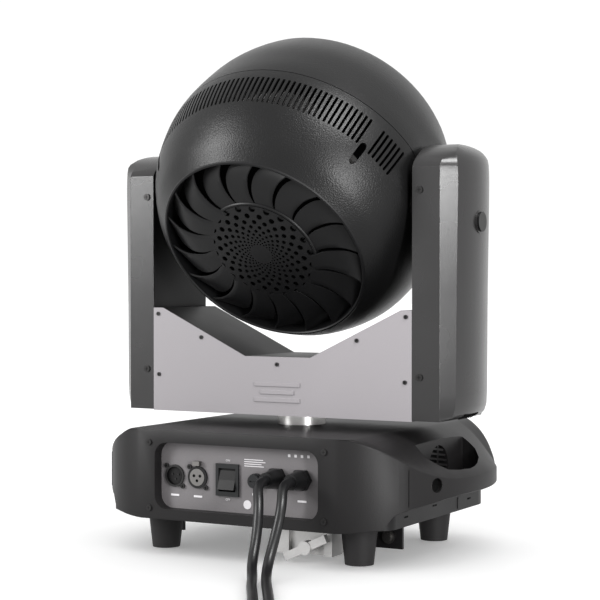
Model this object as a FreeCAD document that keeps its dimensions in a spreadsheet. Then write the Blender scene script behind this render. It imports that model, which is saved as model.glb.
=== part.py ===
import FreeCAD, Part
import math
import os
import re

# Moving head light. Frame: +Z up, origin on the floor under the pan axis, connector side towards -Y,
# control side towards +Y. The head is drawn with its optical axis along +Y and then tilted about X.

Vec = FreeCAD.Vector
doc = FreeCAD.newDocument("MovingHeadLight")

SIZES = {
    # base
    "base_rear": 153.8, "base_front": 165.0, "flat_half": 125.0, "corner_half": 193.0,
    "corner_rear": 112.5, "corner_front": 126.0, "base_half": 225.0, "base_top": 141.0,
    "cover_low": 62.0, "lip_low": 38.0, "wall": 3.0, "shoulder_inner": 140.0, "handle_low": 78.0,
    "handle_high": 94.0, "bezel_depth": 14.0, "recess_half": 105.0, "recess_low": 52.0,
    "recess_high": 127.0, "recess_corner": 15.0, "front_half": 92.0, "front_low": 64.0,
    "front_high": 128.0, "pocket_inner": 174.0, "pocket_outer": 216.0,
    "pocket_end": 192.0, "pocket_rear": 66.0,
    "pocket_front": 68.0, "intake_place": -20.0,
    "pan_half": 180.0, "pan_rear": 136.0, "pan_front": 147.0, "pan_low": 44.0, "pan_corner": 18.0,
    "pan_front_corner": 41.0,
    "sheet_steel": 2.0, "foot_across": 126.3, "foot_along": 97.9, "foot_base": 16.0,
    "foot_bore": 3.2, "foot_head": 21.0,
    # sockets and controls on the panels
    "panel_face": 139.8, "panel_thick": 1.8, "dmx_in_place": -86.3, "dmx_out_place": -55.6,
    "dmx_height": 88.7, "dmx_bore": 10.2, "dmx_ring": 12.6, "switch_place": -16.2, "switch_width": 27.0,
    "switch_tall": 34.0, "switch_height": 88.0, "fuse_place": 20.7, "fuse_height": 89.0, "fuse_ring": 8.5,
    "gland_in_place": 47.0, "gland_out_place": 78.0, "gland_height": 93.5, "gland_reach": 26.0,
    "button_pitch": 17.0, "button_first": 8.0, "button_height": 96.0, "button_size": 5.0,
    "cord_size": 11.0,
    "flange_wide": 26.0, "flange_tall": 31.0, "flange_thick": 2.0, "barrel_long": 26.0,
    "bezel_screw_across": 112.4, "bezel_screw_high": 126.8, "bezel_screw_low": 52.3,
    "bezel_screw": 3.4, "socket_screw": 2.8, "socket_screw_across": 10.8, "socket_screw_up": 11.2,
    "gland_hexagon": 12.5, "gland_hexagon_long": 7.0, "fuse_barrel": 6.3, "fuse_grip": 7.4,
    # rigging
    "bracket_place": 143.5, "bracket_width": 33.0, "bracket_along": -58.0, "bracket_thick": 4.0,
    "bracket_low": 13.0, "strip_hole": 53.0, "strip_bore": 6.5, "strip_wide": 34.0, "strip_thick": 3.0,
    "bracket_bore": 4.6, "bracket_bore_high": 26.0,
    "clamp_place": 67.0, "clamp_depth": -72.0, "clamp_bore": 25.5, "clamp_ring": 33.0,
    "clamp_low": 8.0, "clamp_high": 38.0, "wing_height": 18.0, "wing_place": 76.0,
    "wing_reach": 28.0, "wing_rest": 25.0,
    # pan drive
    "shaft_size": 28.0, "shaft_bore": 20.0, "bearing_size": 42.0, "bearing_low": 158.0,
    "pulley_low": 176.0, "belt_high": 12.0, "pan_pulley_size": 45.0, "pan_pinion_size": 9.0,
    "pan_motor_place": -100.0, "belt_thick": 1.6, "belt_gap": 0.35,
    # yoke
    "arm_inner": 170.6, "arm_flat": 204.0, "arm_edge": 219.5, "arm_outer": 228.0, "arm_depth": 58.7,
    "arm_edge_depth": 44.0, "arm_low": 155.0, "arm_shoulder": 436.0, "arm_peak": 462.0,
    "yoke_low": 154.2, "yoke_high": 276.8, "notch_half": 157.1, "notch_floor_half": 43.3,
    "notch_floor": 221.7, "plate_thick": 1.5, "lock_height": 375.0, "lock_size": 11.0,
    # head
    "tilt_height": 414.0, "tilt_rest": 38.4, "head_flat": 163.0, "grille_size": 120.5,
    "rear_station": 114.5, "seam_station": 6.5, "grille_hub": 66.0, "front_station": 130.0, "hub_size": 14.0,
    "tilt_pulley_size": 38.0, "tilt_pinion_size": 9.0, "tilt_motor_height": 250.0, "front_lens": 121.8,
    "motor_square": 56.0, "pan_motor_tall": 40.0, "tilt_motor_long": 26.0, "motor_bore": 3.3,
    "motor_shaft": 3.0, "fin_thick": 2.0, "fin_deep": 38.0, "sink_plate": 118.0, "sink_place": -32.0,
    "guide_size": 3.0, "guide_height": 112.0, "fan_hub": 16.0, "fan_axle": 4.0, "carrier_size": 119.0,
}
sheet = doc.addObject("Spreadsheet::Sheet", "Sizes")
for row, (name, value) in enumerate(SIZES.items(), 1):
    sheet.set(f"A{row}", name)
    sheet.set(f"B{row}", str(value))
    sheet.setAlias(f"B{row}", name)
doc.recompute()
nodes = []


def val(name):
    """The value of one cell of the sheet."""
    return float(sheet.get(name))


def formula(text):
    """An expression in which every alias refers to the sheet."""
    return re.sub(r"[a-z][a-z_]+", lambda m: "Sizes." + m.group(0) if m.group(0) in SIZES else m.group(0),
                  str(text))


def bind(item, **expressions):
    for name, text in expressions.items():
        item.setExpression(name.replace("__", "."), formula(text))


def place(item, x, y, z):
    bind(item, Placement__Base__x=x, Placement__Base__y=y, Placement__Base__z=z)


def node(item, label):
    """Register an object as one sub-part of the light."""
    item.Label = label
    nodes.append(item)
    return item


def box(wide, deep, tall, x, y, z):
    """A box given by its size and the centre of its foot."""
    item = doc.addObject("Part::Box", "Block")
    bind(item, Length=wide, Width=deep, Height=tall)
    place(item, f"({x}) - ({wide}) / 2", f"({y}) - ({deep}) / 2", z)
    return item


TURNS = {"z": FreeCAD.Rotation(), "x": FreeCAD.Rotation(Vec(0, 1, 0), 90),
         "-x": FreeCAD.Rotation(Vec(0, 1, 0), -90),
         "y": FreeCAD.Rotation(Vec(1, 0, 0), -90), "-y": FreeCAD.Rotation(Vec(1, 0, 0), 90)}


def rod(radius, long, x, y, z, axis="z"):
    """A cylinder that starts at a point and runs along an axis."""
    item = doc.addObject("Part::Cylinder", "Rod")
    item.Placement = FreeCAD.Placement(Vec(), TURNS[axis])
    bind(item, Radius=radius, Height=long)
    place(item, x, y, z)
    return item


def cone(start, end, long, x, y, z, axis="z"):
    item = doc.addObject("Part::Cone", "Taper")
    item.Placement = FreeCAD.Placement(Vec(), TURNS[axis])
    bind(item, Radius1=start, Radius2=end, Height=long)
    place(item, x, y, z)
    return item


def fuse(*items):
    item = doc.addObject("Part::MultiFuse", "Joined")
    item.Shapes = list(items)
    item.Refine = True
    return item


def group(*items):
    """Separate solids that share one sub-part."""
    item = doc.addObject("Part::Compound", "Group")
    item.Links = list(items)
    return item


def cut(base, *tools):
    item = doc.addObject("Part::Cut", "Opened")
    item.Base = base
    item.Tool = tools[0] if len(tools) == 1 else fuse(*tools)
    return item


def common(first, second):
    item = doc.addObject("Part::Common", "Shared")
    item.Base, item.Tool = first, second
    return item


def turned(item, angle, axis, centre):
    """Turn an object about an axis through a point, from where its expressions have put it."""
    doc.recompute()
    for letter in "xyz":
        item.setExpression(f"Placement.Base.{letter}", None)
    turn = FreeCAD.Placement(Vec(), FreeCAD.Rotation(axis, angle), centre)
    item.Placement = turn.multiply(item.Placement)
    return item


def outline(points):
    """Edges through a closed list of points; a point tagged 'arc' is the middle of an arc."""
    edges, count, step = [], len(points), 0
    while step < count:
        start, following = points[step], points[(step + 1) % count]
        if len(following) == 3:
            end = points[(step + 2) % count]
            edges.append(Part.Arc(Vec(*start[:2]), Vec(*following[:2]), Vec(*end[:2])))
            step += 2
        else:
            edges.append(Part.LineSegment(Vec(*start[:2]), Vec(*following[:2])))
            step += 1
    return edges


def sketched_body(name):
    return doc.addObject("PartDesign::Body", name)


def sketch(body, role, points, offset="0"):
    """A closed sketch on one of the body's origin planes, moved along its normal by an offset."""
    item = body.newObject("Sketcher::SketchObject", "Outline")
    plane = [feature for feature in body.Origin.OriginFeatures if feature.Role == role][0]
    item.AttachmentSupport = [(plane, "")]
    item.MapMode = "FlatFace"
    item.setExpression("AttachmentOffset.Base.z", formula(offset))
    item.addGeometry(outline(points), False)
    return item


def pad(body, role, points, long, offset="0", middle=False):
    item = body.newObject("PartDesign::Pad", "Pad")
    item.Profile = sketch(body, role, points, offset)
    bind(item, Length=long)
    item.Midplane = middle
    return item


def pocket(body, role, points, long, offset="0", middle=True):
    """A pocket, checked to remove something."""
    doc.recompute()
    before = body.Shape.Volume
    item = body.newObject("PartDesign::Pocket", "Pocket")
    item.Profile = sketch(body, role, points, offset)
    bind(item, Length=long)
    item.Midplane = middle
    doc.recompute()
    if body.Shape.Volume > before - 1.0:
        raise RuntimeError(f"a pocket in {body.Name} cuts nothing")
    return item


def revolve(body, points):
    """A full turn of a half outline in the XY plane about the Y axis."""
    item = body.newObject("PartDesign::Revolution", "Turned")
    profile = sketch(body, "XY_Plane", points)
    item.Profile = profile
    item.ReferenceAxis = (profile, ["V_Axis"])
    item.Angle = 360.0
    return item


def mirrored(points):
    """Both halves of an outline given for x > 0 from the -Y side to the +Y side."""
    other = [(-p[0],) + tuple(p[1:]) for p in reversed(points)]
    return points + other


def rounded(half_x, low, high, corner, far_corner=None):
    """A rounded rectangle, centred on x, from low to high; the corners at high may differ."""
    far = corner if far_corner is None else far_corner
    bend, far_bend = (size * (1 - math.sqrt(0.5)) for size in (corner, far))
    return [(-half_x + corner, low), (half_x - corner, low), (half_x - bend, low + bend, "arc"),
            (half_x, low + corner), (half_x, high - far), (half_x - far_bend, high - far_bend, "arc"),
            (half_x - far, high), (-half_x + far, high), (-half_x + far_bend, high - far_bend, "arc"),
            (-half_x, high - far), (-half_x, low + corner), (-half_x + bend, low + bend, "arc")]


# ---------------------------------------------------------------- base

def base_outline(inset):
    """Plan of the base: flat rear and front, rounded corners, bowed sides."""
    corner = val("corner_half") - 0.7 * inset
    rear, front = val("base_rear") - inset, val("base_front") - inset
    side_rear, side_front = val("corner_rear") - 0.8 * inset, val("corner_front") - 0.8 * inset
    flat, side = val("flat_half"), val("base_half") - inset

    def corner_middle(end, side_end):
        """The middle of the arc that leaves a flat end face without a kink."""
        half_turn = math.atan2(end - side_end, corner - flat)
        radius = (corner - flat) / math.sin(2 * half_turn)
        return flat + radius * math.sin(half_turn), end - radius * (1 - math.cos(half_turn))

    rear_x, rear_y = corner_middle(rear, side_rear)
    front_x, front_y = corner_middle(front, side_front)
    right = [(flat, -rear), (rear_x, -rear_y, "arc"), (corner, -side_rear), (side, 5.0, "arc"),
             (corner, side_front), (front_x, front_y, "arc"), (flat, front)]
    return mirrored(right)


def base_solid(name, inset, low, high):
    """The outer form of the base between two heights, with sloping shoulders and undercut sides."""
    body = sketched_body(name)
    pad(body, "XY_Plane", base_outline(inset), f"({high}) - ({low})", low)
    top, side = val("base_top") - inset, val("base_half") - inset + 0.2
    far = side + 40
    shoulder = [(val("shoulder_inner"), top), (190 - inset, 121 - 0.6 * inset, "arc"),
                (side, val("handle_high")), (far, val("handle_high")), (far, top + 30),
                (val("shoulder_inner"), top + 30)]
    for way in (1, -1):
        pocket(body, "XZ_Plane", [(way * p[0],) + tuple(p[1:]) for p in shoulder], "500")
    under = [(val("pan_half"), val("cover_low") - 12), (far, val("cover_low") - 12),
             (far, val("handle_low")), (side, val("handle_low")),
             (val("pan_half") + inset, val("cover_low") + inset)]
    for way in (1, -1):
        pocket(body, "XZ_Plane", [(way * p[0],) + tuple(p[1:]) for p in under], "500")
    return body


def recess_block(deep):
    """The rounded opening of the rear bezel, as a solid."""
    body = sketched_body("RearRecess")
    points = rounded(val("recess_half"), val("recess_low"), val("recess_high"), val("recess_corner"))
    pad(body, "XZ_Plane", points, deep, middle=True)
    place(body, "0", "-base_rear", "0")
    return body


def hand_pocket(way):
    """The open slot behind a handle bar: straight on the inside and bowed on the outside."""
    body = sketched_body("HandPocket")
    inner, middle, end = val("pocket_inner"), val("pocket_outer"), val("pocket_end")
    rear, front = -val("pocket_rear"), val("pocket_front")
    plan = [(inner, rear + 9), (end, rear), (middle, 0.0, "arc"), (end, front), (inner, front)]
    pad(body, "XY_Plane", [(way * p[0],) + tuple(p[1:]) for p in plan], "120", "45")
    return body


outer = base_solid("BaseOuter", 0.0, "lip_low + 10", "base_top")
inner = base_solid("BaseInner", val("wall"), "lip_low + 9", "base_top - wall")
centre_zone = box("2 * corner_half", "400", "200", "0", "0", "cover_low")
rear_bezel = cut(box("2 * flat_half", "bezel_depth", "base_top - wall - lip_low", "0",
                     "-base_rear + bezel_depth / 2", "lip_low"), recess_block("80"))
cover_shell = cut(common(outer, centre_zone), inner, hand_pocket(1), hand_pocket(-1),
                  recess_block("60"),
                  box("2 * front_half", "30", "front_high - front_low", "0", "base_front", "front_low"),
                  rod("shaft_size + 1.5", "60", "0", "0", "110"))
pocket_walls = common(outer, fuse(*[
    box("2.5", "pocket_rear + pocket_front + 8", "70", f"{way} * (pocket_inner - 1.25)",
        "(pocket_front - pocket_rear) / 2", "cover_low + 12") for way in (1, -1)]))
intakes = [box("20", "3.4", str(22 - abs(step) * 4), f"{way} * pocket_inner",
               f"intake_place + {step * 5.5}", str(101 + abs(step) * 2))
           for way in (1, -1) for step in range(-2, 3)]
node(cut(fuse(cover_shell, rear_bezel, pocket_walls), *intakes), "base_top_cover")

for label, way in (("side_handle_right", 1), ("side_handle_left", -1)):
    zone = box("60", "400", "200", f"{way} * (corner_half + 30.2)", "0", "cover_low")
    node(cut(common(outer, zone), hand_pocket(way)), label)

pan = sketched_body("BottomPan")
pan_plan = rounded(val("pan_half"), -val("pan_rear"), val("pan_front"), val("pan_corner"),
                   val("pan_front_corner"))
gauge = val("sheet_steel")
pan_hollow = rounded(val("pan_half") - gauge, -val("pan_rear") + gauge, val("pan_front") - gauge,
                     val("pan_corner") - gauge, val("pan_front_corner") - gauge)
pad(pan, "XY_Plane", pan_plan, "cover_low - pan_low - 0.3", "pan_low")
pocket(pan, "XY_Plane", pan_hollow, "60", "pan_low + sheet_steel + 30")
foot_spots = [(f"{side} * foot_across", f"{end} * foot_along") for side in (1, -1) for end in (1, -1)]
node(cut(pan, *[rod("strip_bore", "20", f"{way} * strip_hole", "bracket_along + 17", "pan_low - 8")
                for way in (1, -1)],
         *[rod("foot_bore", "20", across, along, "pan_low - 8") for across, along in foot_spots]),
     "base_bottom_pan")

node(group(*[cut(cone("foot_base", "foot_head", "pan_low - 0.2", across, along, "0"),
                 rod("foot_bore", "60", across, along, "-5")) for across, along in foot_spots]),
     "rubber_feet")

panel_plate = box("2 * recess_half + 14", "panel_thick", "recess_high - recess_low + 6", "0",
                  "-panel_face + panel_thick / 2 + 0.1", "recess_low - 3")
node(cut(panel_plate,
         rod("dmx_ring", "20", "dmx_in_place", "-panel_face - 8", "dmx_height", "y"),
         rod("dmx_ring", "20", "dmx_out_place", "-panel_face - 8", "dmx_height", "y"),
         box("switch_width", "20", "switch_tall - 4", "switch_place", "-panel_face",
             "switch_height - switch_tall / 2 + 2"),
         rod("6.4", "20", "fuse_place", "-panel_face - 8", "fuse_height", "y"),
         rod("7.8", "20", "gland_in_place", "-panel_face - 8", "gland_height", "y"),
         rod("7.8", "20", "gland_out_place", "-panel_face - 8", "gland_height", "y")), "connector_panel")


def dmx_barrel(place_name):
    """Flanged barrel of a three-pin data socket, open to the front."""
    flange = box("flange_wide", "flange_thick", "flange_tall", place_name, "-panel_face + 3.2",
                 "dmx_height - flange_tall / 2")
    barrel = rod("dmx_ring - 0.1", "barrel_long", place_name, "-panel_face - 2.0", "dmx_height", "y")
    return fuse(flange, barrel)


def pins(place_name, radius, long, start):
    spots = ((-4.0, 1.6), (4.0, 1.6), (0.0, -3.8))
    return [rod(str(radius), str(long), f"{place_name} + {across}", start, f"dmx_height + {up}", "y")
            for across, up in spots]


node(fuse(cut(dmx_barrel("dmx_in_place"),
              rod("dmx_bore", "22", "dmx_in_place", "-panel_face - 4", "dmx_height", "y")),
          *pins("dmx_in_place", 1.2, 21, "-panel_face")), "dmx_in_socket")
latch_slot = box("9.4", "10", "8", "dmx_out_place", "-panel_face - 3.4", "dmx_height + 11.6")
node(cut(dmx_barrel("dmx_out_place"), latch_slot,
         *pins("dmx_out_place", 1.4, 16, "-panel_face - 4")), "dmx_out_socket")
node(box("9.0", "5.0", "5.0", "dmx_out_place", "-panel_face - 3.0", "dmx_height + 13.2"), "dmx_out_latch")

node(fuse(cut(box("switch_width + 2.4", "2.6", "switch_tall + 2", "switch_place", "-panel_face - 1.4",
                  "switch_height - switch_tall / 2 - 1"),
              box("switch_width - 5", "8", "switch_tall - 8", "switch_place", "-panel_face - 1.4",
                  "switch_height - switch_tall / 2 + 4")),
          cut(box("switch_width - 0.4", "22", "switch_tall - 4.4", "switch_place", "-panel_face + 10.9",
                  "switch_height - switch_tall / 2 + 2.2"),
              box("switch_width - 5", "20", "switch_tall - 8", "switch_place", "-panel_face + 8",
                  "switch_height - switch_tall / 2 + 4"))), "power_switch_housing")
rocker = sketched_body("Rocker")
pad(rocker, "YZ_Plane", [(-146.0, 77.5), (-139.0, 77.5), (-133.0, 88.0), (-136.0, 98.5), (-140.5, 98.5),
                         (-142.4, 88.0)], "switch_width - 6", middle=True)
rocker.setExpression("Placement.Base.x", formula("switch_place"))
node(cut(rocker, rod("1.2", "40", "switch_place - 20", "-137", "88", "x")), "power_switch_rocker")

node(cut(fuse(rod("fuse_ring", "4", "fuse_place", "-panel_face - 4.0", "fuse_height", "y"),
              rod("fuse_barrel", "34", "fuse_place", "-panel_face - 4.0", "fuse_height", "y")),
         rod("5.2", "28", "fuse_place", "-panel_face - 5.0", "fuse_height", "y")), "fuse_holder")
node(cut(fuse(rod("5.1", "20", "fuse_place", "-panel_face - 4.6", "fuse_height", "y"),
              rod("fuse_grip", "3.4", "fuse_place", "-panel_face - 7.6", "fuse_height", "y")),
         box("9", "1.6", "1.6", "fuse_place", "-panel_face - 7.2", "fuse_height - 0.8")), "fuse_cap")


def gland(label, place_name):
    """Hexagon body, domed nut and lock nut of a cable gland, bored for the cord."""
    hexagon = doc.addObject("Part::Prism", "Hexagon")
    hexagon.Polygon = 6
    hexagon.Placement = FreeCAD.Placement(Vec(), TURNS["-y"])
    bind(hexagon, Circumradius="gland_hexagon", Height="gland_hexagon_long")
    place(hexagon, place_name, "-panel_face - 0.05", "gland_height")
    dome = cone("11.0", "8.6", "gland_reach - gland_hexagon_long", place_name,
                "-panel_face - gland_hexagon_long", "gland_height", "-y")
    thread = rod("7.6", "13", place_name, "-panel_face - 1", "gland_height", "y")
    bore = rod("cord_size / 2 + 0.05", "60", place_name, "-panel_face - 30", "gland_height", "y")
    node(cut(fuse(hexagon, dome, thread), bore), label)


gland("power_in_gland", "gland_in_place")
gland("power_out_gland", "gland_out_place")

BUTTONS = {word: f"button_first + {order} * button_pitch"
           for order, word in enumerate(("menu", "down", "up", "enter"))}
node(cut(box("2 * front_half - 0.6", "2.5", "front_high - front_low - 0.6", "0", "base_front - 4",
             "front_low + 0.3"),
         *[rod("button_size + 0.3", "12", spot, "base_front - 10", "button_height", "y")
           for spot in BUTTONS.values()]), "control_panel")
node(box("62", "1.6", "36", "-46", "base_front - 1.9", "78"), "display_window")
for word, spot in BUTTONS.items():
    node(rod("button_size", "4.6", spot, "base_front - 3.6", "button_height", "y"), f"{word}_button")

screw_spots = [(f"{way} * bezel_screw_across", high, "base_rear + 1.6", "bezel_screw")
               for way in (1, -1) for high in ("bezel_screw_high", "bezel_screw_low")]
screw_spots += [(f"{socket} + {way} * socket_screw_across", f"dmx_height - {way} * socket_screw_up",
                 "panel_face + 1.9", "socket_screw")
                for socket in ("dmx_in_place", "dmx_out_place") for way in (1, -1)]
node(group(*[rod(size, "1.7", x, f"-({face}) - 0.1", high, "y")
             for x, high, face, size in screw_spots]), "panel_screws")

shaft = cut(fuse(rod("shaft_size", "pulley_low + belt_high + 6 - 100", "0", "0", "100"),
                 rod("60", "3", "0", "0", "base_top - wall - 3.2")),
            rod("shaft_bore", "160", "0", "0", "90"))
node(shaft, "pan_shaft")
node(cut(rod("pan_pulley_size", "belt_high", "0", "0", "pulley_low"),
         rod("shaft_size + 0.02", "40", "0", "0", "pulley_low - 10")), "pan_pulley")
node(box("112", "190", "48", "-108", "8", "pan_low + sheet_steel + 0.1"), "power_supply")

tabs = [box("bracket_width", "bracket_thick", "pan_low - 0.2 - bracket_low", f"{way} * bracket_place",
            "bracket_along", "bracket_low") for way in (1, -1)]
strip = box("2 * bracket_place + bracket_width", "strip_wide", "strip_thick", "0", "bracket_along + 15",
            "pan_low - strip_thick - 0.2")
node(cut(fuse(strip, *tabs), *[rod("bracket_bore", "20", f"{way} * bracket_place", "bracket_along - 10",
                                   "bracket_bore_high", "y")
                               for way in (1, -1)],
         *[rod("strip_bore", "20", f"{way} * strip_hole", "bracket_along + 17", "pan_low - 10")
           for way in (1, -1)]),
     "omega_bracket")
node(group(*[fuse(rod("7.5", "2.4", f"{way} * bracket_place", "bracket_along - bracket_thick / 2 - 2.5",
                      "26", "y"),
                  rod("4.5", "9.0", f"{way} * bracket_place", "bracket_along - bracket_thick / 2 - 5.0",
                      "26", "y"))
             for way in (1, -1)]), "bracket_fasteners")

clamp_tall = "clamp_high - clamp_low"
jaw = cut(fuse(rod("clamp_ring", clamp_tall, "clamp_place", "clamp_depth", "clamp_low"),
               box("58", "20", clamp_tall, "clamp_place - 4", "-100", "clamp_low"),
               box("18", "16", clamp_tall, "clamp_place - 28", "-108", "clamp_low"),
               box("10", "24", clamp_tall, "clamp_place + 30", "-104", "clamp_low"),
               box("40", "22", "5.6", "clamp_place", "clamp_depth - 14", "clamp_high")),
          rod("clamp_bore", "26", "clamp_place", "clamp_depth", "clamp_low - 1"),
          box("2 * clamp_bore", "60", "26", "clamp_place", "clamp_depth + 30", "clamp_low - 1"),
          rod("5.2", "60", "wing_place", "-130", "wing_height", "y"))
node(jaw, "clamp_body")
wing_bar = box("2 * wing_reach", "7", "9", "wing_place", "-127", "wing_height - 4.5")
wing = fuse(rod("5.0", "26", "wing_place", "-124", "wing_height", "y"),
            rod("7.5", "12", "wing_place", "-132", "wing_height", "y"), wing_bar)
turned(wing_bar, -val("wing_rest"), Vec(0, 1, 0), Vec(val("wing_place"), 0, val("wing_height")))
node(wing, "clamp_wing_bolt")


# ---------------------------------------------------------------- cords

VIEW = (0.4866, -0.8736)
SIDE = (0.8736, 0.4866)
FLOOR = 5.5


def on_floor(ahead, across, high=FLOOR):
    """A floor point given along and across the direction in which the cords run."""
    return (ahead * VIEW[0] + across * SIDE[0], ahead * VIEW[1] + across * SIDE[1], high)


ROUTE_IN = [(47, -151, 93.5), (47, -183, 93.5), (61, -203, 73.0), (66, -216, 42.0), (71, -235, 16.0),
            (85, -257, 6.5), on_floor(302, -51), on_floor(352, -48.5), on_floor(404, -46.5),
            on_floor(455, -47), on_floor(500, -46)]
ROUTE_OUT = [(78, -151, 93.5), (78, -183, 93.5), (89, -203, 73.0), (88, -216, 42.0), (90, -235, 16.0),
             (101, -257, 6.5), on_floor(305, -35.5), on_floor(354, -33), on_floor(405, -31),
             on_floor(455, -31.5), on_floor(500, -30)]
COILS = (("power_in", ROUTE_IN, -112.0, -1), ("power_out", ROUTE_OUT, 36.0, 1))
COIL_OUTER, COIL_INNER, COIL_AHEAD = 72.0, 37.0, 500.0
CORD_ARC = 0.45


def cord_path(points):
    """Straight runs joined by tangent arcs, each as large as its two runs allow."""
    corners = [Vec(*p) for p in points]
    edges, begin = [], corners[0]
    for before, corner, after in zip(corners, corners[1:], corners[2:]):
        arrive, leave = corner - before, after - corner
        turn = arrive.getAngle(leave)
        trim = CORD_ARC * min(arrive.Length, leave.Length)
        arrive.normalize()
        leave.normalize()
        start, end = corner - arrive * trim, corner + leave * trim
        radius = trim / math.tan(turn / 2)
        inward = (leave - arrive).normalize()
        middle = corner + inward * (radius / math.cos(turn / 2) - radius)
        edges.append(Part.LineSegment(begin, start).toShape())
        edges.append(Part.Arc(start, middle, end).toShape())
        begin = end
    edges.append(Part.LineSegment(begin, corners[-1]).toShape())
    return Part.Wire(edges)


def cord_tube(points):
    path = cord_path(points)
    start = path.Edges[0]
    along = start.tangentAt(start.FirstParameter)
    ring = Part.Wire(Part.makeCircle(val("cord_size") / 2, Vec(*points[0]), along))
    tube = path.makePipeShell([ring], True, True)
    section = math.pi * (val("cord_size") / 2) ** 2
    print(f"cord length {path.Length:.0f}, volume ratio {tube.Volume / (section * path.Length):.3f}")
    return tube


def lay_on_floor(shape, ahead, across, high):
    """Place a shape drawn along X so that its X runs across the cords' direction."""
    turn = FreeCAD.Rotation(Vec(0, 0, 1), math.degrees(math.atan2(SIDE[1], SIDE[0])))
    shape.Placement = FreeCAD.Placement(Vec(*on_floor(ahead, across, high)), turn)
    return shape


for word, route, across, way in COILS:
    tube = doc.addObject("Part::Feature", "Cord")
    tube.Shape = cord_tube(route)
    node(tube, f"{word}_cord")
    coil = cut(rod(str(COIL_OUTER), "cord_size", "0", "0", "0"), rod(str(COIL_INNER), "30", "0", "0", "-5"))
    centre = on_floor(COIL_AHEAD, across, 0)
    coil.Placement = FreeCAD.Placement(Vec(*centre), FreeCAD.Rotation())
    node(coil, f"{word}_coil")

PLUG_AHEAD, PLUG_LIFT = 556.0, 11.2
for word, across, way in (("power_in_plug", -112.0, -1), ("power_out_connector", 36.0, 1)):
    grip = doc.addObject("Part::Box", "Grip")
    bind(grip, Length="42", Width="28", Height="22")
    grip.Placement.Base = Vec(-21 - 3, -14, 0)
    relief = cone("5.8", "8.5", "22", "40", "0", "11", "-x")
    if word == "power_in_plug":
        legs = [rod("2.0", "17", "0", str(y), str(z), "x") for y, z in ((-6.5, 8), (6.5, 8), (0, 15))]
        for leg in legs:
            leg.setExpression("Placement.Base.x", "-24 - 16.5")
        plug = fuse(grip, relief, *legs)
    else:
        holes = [rod("2.2", "18", "-30", str(y), str(z), "x") for y, z in ((-6.5, 8), (6.5, 8), (0, 15))]
        plug = cut(fuse(grip, relief), *holes)
    turn = math.degrees(math.atan2(SIDE[1], SIDE[0])) + (0 if way < 0 else 180)
    plug.Placement = FreeCAD.Placement(Vec(*on_floor(PLUG_AHEAD, across, PLUG_LIFT)),
                                       FreeCAD.Rotation(Vec(0, 0, 1), turn))
    node(plug, word)


# ---------------------------------------------------------------- yoke

def yoke_side(inset):
    """Side outline (Y, Z) of an arm: straight flanks and an arched top."""
    deep, low = val("arm_depth") - inset, val("arm_low") + inset
    shoulder, peak = val("arm_shoulder") - inset, val("arm_peak") - inset
    return [(-deep, low), (deep, low), (deep, shoulder), (0, peak, "arc"), (-deep, shoulder)]


def notch():
    """V notch of the yoke, from its floor up past the top, in the XZ plane."""
    wide, floor_half = val("notch_half"), val("notch_floor_half")
    high, low = val("yoke_high"), val("notch_floor")
    return [(-floor_half, low), (floor_half, low), (wide, high), (wide, high + 60),
            (-wide, high + 60), (-wide, high)]


def yoke_plate(label, face):
    body = sketched_body("YokePlate")
    wide, low, high = val("arm_inner") - 0.1, val("yoke_low"), val("yoke_high")
    pad(body, "XZ_Plane", [(-wide, low), (wide, low), (wide, high), (-wide, high)], "plate_thick",
        middle=True)
    pocket(body, "XZ_Plane", notch(), "40")
    body.setExpression("Placement.Base.y", formula(face))
    node(body, label)


yoke_plate("yoke_rear_plate", "-arm_depth + plate_thick / 2")
yoke_plate("yoke_front_plate", "arm_depth - plate_thick / 2")

beam = sketched_body("Beam")
beam_wide, beam_low, beam_high = val("arm_inner") - 0.1, val("yoke_low"), val("yoke_high")
beam_depth = "2 * arm_depth - 2 * plate_thick - 0.6"
pad(beam, "XZ_Plane", [(-beam_wide, beam_low), (beam_wide, beam_low), (beam_wide, beam_high),
                       (-beam_wide, beam_high)], beam_depth, middle=True)
pocket(beam, "XZ_Plane", notch(), "400")
slope = [(-beam_wide + 1.6, beam_low + 2.5), (beam_wide - 1.6, beam_low + 2.5),
         (beam_wide - 1.6, beam_high - 1.6), (val("notch_half") + 0.6, beam_high - 1.6),
         (val("notch_floor_half") + 0.4, val("notch_floor") - 1.8),
         (-val("notch_floor_half") - 0.4, val("notch_floor") - 1.8),
         (-val("notch_half") - 0.6, beam_high - 1.6), (-beam_wide + 1.6, beam_high - 1.6)]
pocket(beam, "XZ_Plane", slope, "400")
arm_plates = []
for way in (1, -1):
    plate = sketched_body("ArmPlate")
    pad(plate, "YZ_Plane", yoke_side(2.0), "2.2", middle=True)
    plate.setExpression("Placement.Base.x", formula(f"{way} * (arm_inner + 1.0)"))
    arm_plates.append(plate)
node(cut(fuse(beam, *arm_plates), rod("bearing_size + 0.02", "30", "0", "0", "yoke_low - 10"),
         rod("hub_size + 2", "500", "-250", "0", "tilt_height", "x")), "yoke_frame")

node(cut(rod("bearing_size", "12", "0", "0", "yoke_low + 0.1"),
         rod("shaft_size + 0.05", "60", "0", "0", "yoke_low - 20")), "pan_bearing")


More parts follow.
